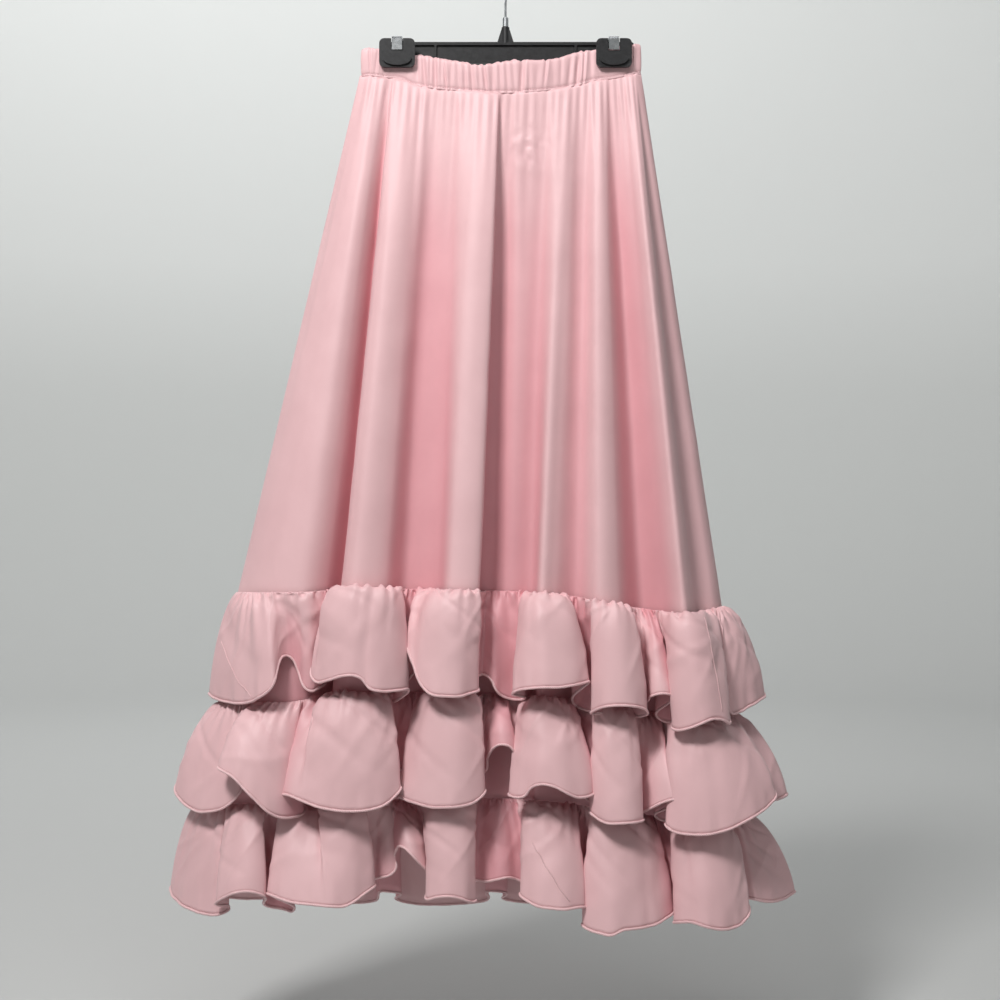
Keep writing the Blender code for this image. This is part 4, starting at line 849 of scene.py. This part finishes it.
def build_casing():
    front = [(a, t, s, ot, os_) for a, t, s, ot, os_ in WAIST]
    top = [place(a, t, ot) for a, t, s, ot, os_ in front]
    low = [place(a, s, os_) for a, t, s, ot, os_ in front]
    across = [r[0] for r in front]
    for a, t, s, ot, os_ in reversed(front[1:-1]):
        top.append(place(a, t, BACK_WAIST_OUT))
        low.append(place(a, s, BACK_WAIST_OUT))
        across.append(1001.0 - a + 1400.0)
    n = len(top)
    cols = np.linspace(0, n, 760, endpoint=False)
    ring_t, ring_l = loop_curve(top, cols), loop_curve(low, cols)
    mid = (ring_t + ring_l) / 2
    d = np.roll(mid, -1, 0) - np.roll(mid, 1, 0)
    nrm = np.stack([d[:, 1], -d[:, 0], np.zeros(len(d))], 1)
    nrm /= np.linalg.norm(nrm, axis=1)[:, None] + 1e-12
    at = np.interp(cols, np.arange(n + 1), np.append(across, 2400.0))
    odd = rng(31)
    kinds = [(a, deep * odd.uniform(0.35, 1.45), odd.uniform(0.8, 1.9), odd.uniform(-3.2, 3.2), odd.uniform(0.0, 1.0))
             for a, deep in PINCHES]

    def pinches(f):
        """Depth of the pinches all round at height f; some lean or run out."""
        total = np.zeros(len(cols))
        for a, deep, wide, lean, ends_at in kinds:
            here = deep * (1.0 - 0.75 * smooth((abs(f - ends_at) - 0.45) / 0.4))
            for centre in (a, 1001.0 - a + 1400.0 + 2.0 * sin(a)):
                x = at - centre - lean * (f - 0.5)
                total += -here * np.exp(-0.5 * (x / wide) ** 2) + 0.5 * here * np.exp(-0.5 * ((x - 2.4 * wide) / (1.3 * wide)) ** 2)
        # the clips press it flat
        total *= 1.2
        for centre in (398.0, 613.0):
            total *= 1.0 - 0.85 * np.exp(-((at - centre) / 17.0) ** 6)
        return total

    pinch = pinches(0.9)
    # cross-section of the casing, from the seam up the face, over the top and
    # down the inside: share of the height, how far out, how much the pinches count
    section = []
    for f, o, w in [(1.00, -0.9, 0.45), (0.985, -0.35, 0.7), (0.955, -0.15, 0.9), (0.92, -0.55, 0.85), (0.90, -0.75, 0.8), (0.88, -0.30, 0.9),
                    (0.84, 0.05, 1.0), (0.74, 0.15, 1.0), (0.62, 0.20, 1.0), (0.50, 0.20, 1.0), (0.38, 0.15, 1.0),
                    (0.26, 0.05, 1.0), (0.15, -0.10, 0.95), (0.07, -0.35, 0.8), (0.02, -0.85, 0.6), (0.0, -1.45, 0.4),
                    (0.02, -2.05, 0.2), (0.08, -2.6, 0.0), (0.3, -2.8, 0.0), (0.6, -2.8, 0.0), (0.9, -2.8, 0.0), (0.985, -2.7, 0.0), (1.0, -2.2, 0.0)]:
        drop = ring_l - ring_t
        pinch = pinches(f)
        wave = 0.9 * value_noise(at * 0.11, at * 0.0 + f * 3.0, 5) * w
        scallop = np.array([0.0, 0.0, 1.0]) * (0.0009 * (1 - f) ** 3 * pinch[:, None])
        section.append(ring_t + drop * f + nrm * ((o + pinch * w * (0.75 + 0.25 * cos(pi * (f - 0.5))) + 0.35 * wave) * 0.001)[:, None] + scallop)
    g = np.array(section)[::-1]
    # rows run round the section; close it into a tube
    nr, nc, _ = g.shape
    verts = g.reshape(-1, 3)
    run = np.concatenate([[0.0], np.cumsum(np.linalg.norm(np.diff(mid, axis=0), axis=1))])
    across_uv = np.repeat(run[None], nr, 0)
    rise = np.concatenate([[0.0], np.cumsum(np.linalg.norm(np.diff(g, axis=0), axis=2).mean(1))])
    uvs = np.stack([across_uv.ravel(), np.repeat(rise, nc)], 1)
    r, c = np.meshgrid(np.arange(nr), np.arange(nc), indexing="ij")
    a = r * nc + c
    b = r * nc + (c + 1) % nc
    d_ = ((r + 1) % nr) * nc + c
    e = ((r + 1) % nr) * nc + (c + 1) % nc
    faces = np.stack([a, d_, e, b], -1).reshape(-1, 4)
    obj = finish_mesh("cloth_waistband", verts, faces, uvs, CLOTH_MAT)
    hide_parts("waistband")
    # its line of stitches, a little above the seam
    pinch = pinches(0.905)
    row = ring_t + (ring_l - ring_t) * 0.905 + nrm * ((-0.42 + pinch * 0.8) * 0.001)[:, None]
    return obj, row, nrm, mid


def stitch_row(name, path, nrm, pitch, long, radius, lift):
    """A joined row of short thread stitches laid along a path."""
    run = np.concatenate([[0.0], np.cumsum(np.linalg.norm(np.diff(path, axis=0), axis=1))])
    verts, faces, uvs = [], [], []
    count = int(run[-1] / pitch)
    for k in range(count):
        s0 = k * pitch
        pts = []
        for f, h in ((0.0, -0.6), (0.22, 0.5), (0.5, 1.0), (0.78, 0.5), (1.0, -0.6)):
            s = s0 + long * f
            p = np.array([np.interp(s, run, path[:, j]) for j in range(3)])
            m = np.array([np.interp(s, run, nrm[:, j]) for j in range(3)])
            pts.append(p + m * (lift * h))
        pts = np.array(pts)
        t = np.gradient(pts, axis=0)
        t /= np.linalg.norm(t, axis=1)[:, None] + 1e-12
        base = len(verts)
        for i, p in enumerate(pts):
            s1 = np.cross(t[i], [0, 0, 1.0])
            s1 /= np.linalg.norm(s1) + 1e-12
            s2 = np.cross(s1, t[i])
            rr = radius * (0.35 if i in (0, 4) else 1.0)
            for a in range(6):
                ang = a * pi / 3
                verts.append(p + rr * (cos(ang) * s1 + sin(ang) * s2))
                uvs.append((s0 + long * i / 4, ang * radius))
        for i in range(4):
            for a in range(6):
                x = base + i * 6 + a
                y = base + i * 6 + (a + 1) % 6
                faces.append((x, y, y + 6, x + 6))
        for off, flip in ((0, True), (24, False)):
            q1 = [base + off + j for j in (0, 1, 2, 3)]
            q2 = [base + off + j for j in (0, 3, 4, 5)]
            for qd in (q1, q2):
                faces.append(tuple(reversed(qd)) if flip else tuple(qd))
    return finish_mesh(name, np.array(verts), faces, np.array(uvs), THREAD_MAT)


# -------------------------------------------------------------- the ruffles
def clear_levels():
    levels = []
    fine = np.arange(0, N_BODY, 0.08)
    for q in (1.0, 1.025, 1.05, 1.12, 1.21, 1.32, 1.42):
        levels.append(body_loop(q, fine))
    return levels, [envelope(ring) for ring in levels]


LEVELS = clear_levels()


def ruffle_surface(tier, first, last, n_cols, n_rows, seed):
    """Fine surface of one ruffle piece, from its gathered head to its hem."""
    hem_s, head_s, puff_s, n_front = ruffle_stations(tier)
    n = len(hem_s)
    probe = np.linspace(first, last, 3000)
    ring = loop_curve(hem_s, probe)
    run = np.concatenate([[0.0], np.cumsum(np.linalg.norm(np.diff(ring, axis=0), axis=1))])
    params = np.interp(np.linspace(0, run[-1], n_cols), run, probe)
    hem = loop_curve(hem_s, params)
    head_p = seam_params(tier, params, head_s, n_front)
    ends = (N_FRONT, N_BODY) if first > 0 else (0, N_FRONT)
    head_p[0], head_p[-1] = ends
    kern = np.hanning(9)
    kern /= kern.sum()
    head_p = np.convolve(np.concatenate([[head_p[0]] * 4, head_p, [head_p[-1]] * 4]), kern, "valid")
    head_p[0], head_p[-1] = ends
    q = Q_TIER[tier]
    fine = np.arange(0, N_BODY, 0.05)
    base = body_loop(q, fine)
    kernel = np.hanning(61)
    kernel /= kernel.sum()
    soft = np.stack([np.convolve(np.concatenate([base[-30:, k], base[:, k], base[:30, k]]), kernel, "valid")
                     for k in range(3)], 1)
    ring_n = outward(soft)
    idx = np.round(np.mod(head_p, N_BODY) / 0.05).astype(int) % len(fine)
    nrm = ring_n[idx]
    head = body_loop(q, head_p)
    # the head bridges the base's sharp valleys
    xs, ahead, behind, left, right = envelope(base)
    inner = smooth((np.minimum(head[:, 0] - left, right - head[:, 0]) - 0.010) / 0.02)
    for face, side in ((-1.0, ahead), (1.0, behind)):
        lies = np.interp(head[:, 0], xs, side)
        now = face * head[:, 1]
        head[:, 1] = np.where((now > 0) & (lies > now), face * (now + (lies - now) * inner), head[:, 1])
    head = head + nrm * 0.0018
    puff = np.interp(np.mod(params, n), np.arange(n + 1), np.append(puff_s, puff_s[0]))
    puff = np.convolve(np.concatenate([[puff[0]] * 4, puff, [puff[-1]] * 4]), kern, "valid")
    drop = (head[:, 2] - hem[:, 2])[:, None]
    up = np.array([0.0, 0.0, 1.0])
    s = np.interp(params, probe, run)
    lump = bumps(s, seed, 0.030)
    proud = np.clip((np.abs(hem[:, 1]) - 0.060) / 0.045, 0.0, 1.0)[:, None]
    c1 = (head + nrm * (0.004 + 0.008 * proud + 0.0010 * puff[:, None]) + (hem - head) * np.array([0.34, 0.30, 0.0])
          + up * (puff[:, None] * UNIT * 3.0 - 0.10 * drop))
    c2 = hem + (head - hem) * np.array([0.12, 0.12, 0.0]) + up * 0.42 * drop
    ts = np.concatenate([np.linspace(0, 0.16, 12)[:-1], np.linspace(0.16, 1.0, n_rows - 11)])
    next_q = Q_TIER.get(tier + 1)
    rows = []
    for t in ts:
        p = ((1 - t) ** 3 * head + 3 * (1 - t) ** 2 * t * c1
             + 3 * (1 - t) * t * t * c2 + t ** 3 * hem)
        if t > 0.03:
            gap = np.full(len(p), 0.0030 if t < 0.2 else 0.0045)
            if next_q:
                below = body_loop(next_q, head_p)[:, 2] + 0.006 - p[:, 2]
                gap = np.where(below > 0, 0.010 + 0.35 * below, gap)
            p = keep_clear(p, LEVELS, gap)
        rows.append(p)
    g = np.array(rows)
    # even out steps that keeping clear has made along a row
    k5 = np.array([1.0, 2.0, 3.0, 2.0, 1.0]) / 9.0
    for i in range(2, len(g)):
        g[i, 2:-2] = sum(g[i, j:len(params) - 4 + j] * k5[j] for j in range(5))
    nn = grid_normals(g)
    t = ts[:, None]
    swell = np.minimum(1.0, t / 0.05) * (0.45 + 0.55 * np.exp(-((t - 0.10) / 0.10) ** 2))
    reach = 0.30 + 0.22 * value_noise(s * 17, s * 0 + 3.0, seed + 1)[None]
    fade = 1.0 - smooth(t / (reach * 2.0))
    move = 3.0 * bumps(s, seed + 2, 0.024)[None] * swell * fade
    move += 1.5 * bumps(s, seed + 3, 0.0135)[None] * np.minimum(1.0, t / 0.03) * (1.0 - smooth(t / 0.22))
    # soft pleats that run on down, and slight dents
    long = smooth(0.2 + value_noise(s * 11, s * 0 + 7.0, seed + 4))[None]
    move += 2.3 * bumps(s, seed + 5, 0.044)[None] * smooth(t / 0.2) * (1.0 - 0.75 * t) * long
    move += 1.0 * value_noise(s[None] * 34, t * 4.0, seed + 6) * smooth(t / 0.3)
    # narrow, uneven creases that wander across the pleats
    wander = value_noise(s[None] * 24 + 2.6 * t, t * 2.4 + s[None] * 7, seed + 9)
    wander2 = value_noise(s[None] * 15 - 3.1 * t, t * 1.7 - s[None] * 5, seed + 10)
    move += 1.4 * np.clip(1.0 - np.abs(wander) * 3.6, 0.0, 1.0) * smooth(t / 0.25) * smooth((1.05 - t) / 0.4)
    move -= 1.7 * np.clip(1.0 - np.abs(wander2) * 4.2, 0.0, 1.0) * smooth(t / 0.15) * smooth((1.0 - t) / 0.5)
    # the hem ripples a little where it is rolled
    ripple = 0.7 * bumps(s, seed + 7, 0.028)[None] * smooth((t - 0.75) / 0.25)
    hold = smooth(np.minimum(params - first, last - params) / 0.5)[None]
    g = g + nn * ((move + ripple) * hold * 0.001)[..., None]
    return g, s


# joins in the ruffle strips, as they show on the front: tier, (across, down)
STRIP_JOINS = [
    (1, [(221, 641), (229, 664), (238, 682), (251, 696)]),
    (3, [(531, 842), (543, 862), (557, 884), (570, 902)]),
    (1, [(705, 618), (712, 650), (718, 684), (722, 712)]),
]


def join_line(name, g, marks):
    """A fine sewn join laid on a ruffle's face along marks of the drawing."""
    k = 1.0 + g[..., 1] / EYE
    across = g[..., 0] / (UNIT * k) + AXIS_ACROSS
    down = EYE_DOWN - (g[..., 2] + (HOOK_ABOVE + EYE_DOWN) * UNIT) / (UNIT * k)
    nn = grid_normals(g)
    marks = np.array(marks, float)
    where = np.linspace(0, len(marks) - 1, 26)
    path = []
    for f in where:
        u = np.interp(f, np.arange(len(marks)), marks[:, 0])
        v = np.interp(f, np.arange(len(marks)), marks[:, 1])
        far = (across - u) ** 2 + (down - v) ** 2
        cost = np.where(far < 9.0, far + g[..., 1] * 400.0, far + 1000.0)
        i, j = np.unravel_index(int(np.argmin(cost)), cost.shape)
        path.append(g[i, j] + nn[i, j] * 0.0002)
    path = np.array(path)
    for _ in range(2):
        path[1:-1] = (path[:-2] + 2 * path[1:-1] + path[2:]) / 4
    return tube(name, path, 0.0006, ROLL_MAT, sides=6)


def build_ruffles():
    sizes = {1: (0.94, 0.135), 2: (1.16, 0.135), 3: (1.16, 0.125)}
    for tier in (1, 2, 3):
        hem_s, head_s, puff_s, n_front = ruffle_stations(tier)
        total = len(hem_s)
        for side, first, last, cols, rows in (("front", 0, n_front, 900, 40), ("back", n_front, total, 380, 24)):
            g, s = ruffle_surface(tier, first, last, cols, rows, 100 * tier + (50 if side == "back" else 0))
            obj = shell("cloth_ruffle_%d_%s" % (tier, side), g, CLOTH_MAT)
            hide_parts("ruffle_%d_%s" % (tier, side))
            path = g[-1] + np.array([0.0, 0.0, -0.0004])
            wob = ROLL * (1.0 + 0.10 * bumps(s, 900 + tier, 0.011))
            roll = tube("hem_%d_%s" % (tier, side), path, wob, ROLL_MAT)
            du = np.linalg.norm(np.diff(g, axis=1), axis=2)
            dv = np.linalg.norm(np.diff(g, axis=0), axis=2)
            area = float((du[:-1, :] * (dv[:, :-1] + dv[:, 1:]) / 2).sum())
            if side == "front":
                for k, (which, marks) in enumerate(STRIP_JOINS):
                    if which == tier:
                        join_line("strip_join_%d" % (k + 1), g, marks)
            print("ruffle", tier, side, "hem %.3f m" % s[-1], "deep %.3f" % dv.sum(0).mean(), "area %.4f" % area)


casing, stitch_path, stitch_nrm, casing_mid = build_casing()
half = len(stitch_path) // 2
stitch_row("casing_stitches", stitch_path, stitch_nrm, 0.0034, 0.0026, 0.00028, 0.0003)
build_base()
build_ruffles()

for node in NODES:
    if node in ("hanger_bar",) or node.endswith("jaw"):
        mat = PLASTIC_MAT
    elif node in ("hook", "hook_collar") or node.endswith("spring"):
        mat = STEEL_MAT
    else:
        continue
    NODES[node].data.materials.clear()
    NODES[node].data.materials.append(mat)


# ------------------------------------------------------- floor, light, view
def build_stage():
    floor_z, far, bend, turns = -1.33, 4.8, 1.1, 64
    profile = [(0.4, floor_z), (2.0, floor_z), (far - bend, floor_z)]
    for k in range(1, 11):
        a = pi / 2 * k / 10
        profile.append((far - bend + bend * sin(a), floor_z + bend - bend * cos(a)))
    profile.append((far, 3.2))
    verts, faces = [(0.0, 0.0, floor_z)], []
    for r, z in profile:
        verts += [(r * cos(2 * pi * i / turns), r * sin(2 * pi * i / turns), z) for i in range(turns)]
    for i in range(turns):
        faces.append((0, 1 + i, 1 + (i + 1) % turns))
    for k in range(len(profile) - 1):
        for i in range(turns):
            a, b = 1 + k * turns + i, 1 + k * turns + (i + 1) % turns
            faces.append((a, a + turns, b + turns, b))
    mesh = bpy.data.meshes.new("backdrop")
    mesh.from_pydata(verts, [], faces)
    mesh.shade_smooth()
    obj = bpy.data.objects.new("backdrop", mesh)
    bpy.context.scene.collection.objects.link(obj)
    mat = plain_finish("pale_paper_painted_falloff", (0.66, 0.67, 0.665), (0.635, 0.645, 0.64), (0.85, 0.95), scale=6.0, grain=0.02)
    nt = mat.node_tree
    # painted shade: the backdrop and floor are coloured darker toward the bottom, standing in for the light falling
    # off downward
    where = new_node(nt, "ShaderNodeTexCoord")
    split = new_node(nt, "ShaderNodeSeparateXYZ")
    nt.links.new(where.outputs["Object"], split.inputs["Vector"])
    falloff_height = new_node(nt, "ShaderNodeMapRange")
    falloff_height.inputs["From Min"].default_value = -1.5
    falloff_height.inputs["From Max"].default_value = 0.3
    nt.links.new(split.outputs["Z"], falloff_height.inputs["Value"])
    painted_falloff = ramp(nt, [(0.0, (0.50, 0.505, 0.50)), (0.45, (0.60, 0.61, 0.60)), (1.0, (0.74, 0.75, 0.74))], falloff_height.outputs["Result"])
    bsdf = next(n for n in nt.nodes if n.type == "BSDF_PRINCIPLED")
    nt.links.new(painted_falloff.outputs["Color"], bsdf.inputs["Base Color"])
    mesh.materials.append(mat)


def area_light(name, at, target, size, power, colour=(1, 1, 1), size_y=None):
    data = bpy.data.lights.new(name, "AREA")
    data.energy = power
    data.color = colour
    data.shape = "RECTANGLE"
    data.size = size
    data.size_y = size_y or size
    obj = bpy.data.objects.new(name, data)
    bpy.context.scene.collection.objects.link(obj)
    from mathutils import Vector
    d = Vector(target) - Vector(at)
    obj.location = at
    obj.rotation_euler = d.to_track_quat("-Z", "Y").to_euler()
    return obj


build_stage()
area_light("key", (-0.95, -1.75, 1.30), (0.0, 0.0, -0.45), 0.6, 66, (1.0, 0.99, 0.98))
area_light("top", (0.2, -1.1, 1.4), (0.0, 0.2, -0.5), 1.0, 12, (1.0, 1.0, 1.0))
area_light("fill", (2.2, -2.0, 0.2), (0.0, 0.0, -0.7), 1.4, 1.5, (0.95, 0.98, 1.0))
area_light("rear", (-1.6, 2.4, 1.6), (0.0, 0.0, -0.6), 1.2, 13, (0.98, 0.99, 1.0))
area_light("backdrop_wash", (-0.6, 1.9, 2.9), (-0.6, 4.8, 0.4), 3.2, 105, (0.99, 1.0, 1.0), size_y=0.8)
world = bpy.data.worlds.new("studio")
bpy.context.scene.world = world
world.use_nodes = True
bg = world.node_tree.nodes["Background"]
bg.inputs["Color"].default_value = (0.92, 0.95, 0.96, 1.0)
bg.inputs["Strength"].default_value = 0.05

cam_data = bpy.data.cameras.new("camera")
cam = bpy.data.objects.new("camera", cam_data)
bpy.context.scene.collection.objects.link(cam)
cam.location = ((500.0 - AXIS_ACROSS) * UNIT, -EYE, -(HOOK_ABOVE + EYE_DOWN) * UNIT)
cam.rotation_euler = (radians(90), 0, 0)
cam_data.sensor_width = 36.0
cam_data.sensor_fit = "HORIZONTAL"
cam_data.lens = 36.0 * EYE / (1000.0 * UNIT)
cam_data.clip_start, cam_data.clip_end = 0.05, 30.0
bpy.context.scene.camera = cam
bpy.context.scene.view_settings.view_transform = "Standard"
bpy.context.scene.view_settings.look = "None"
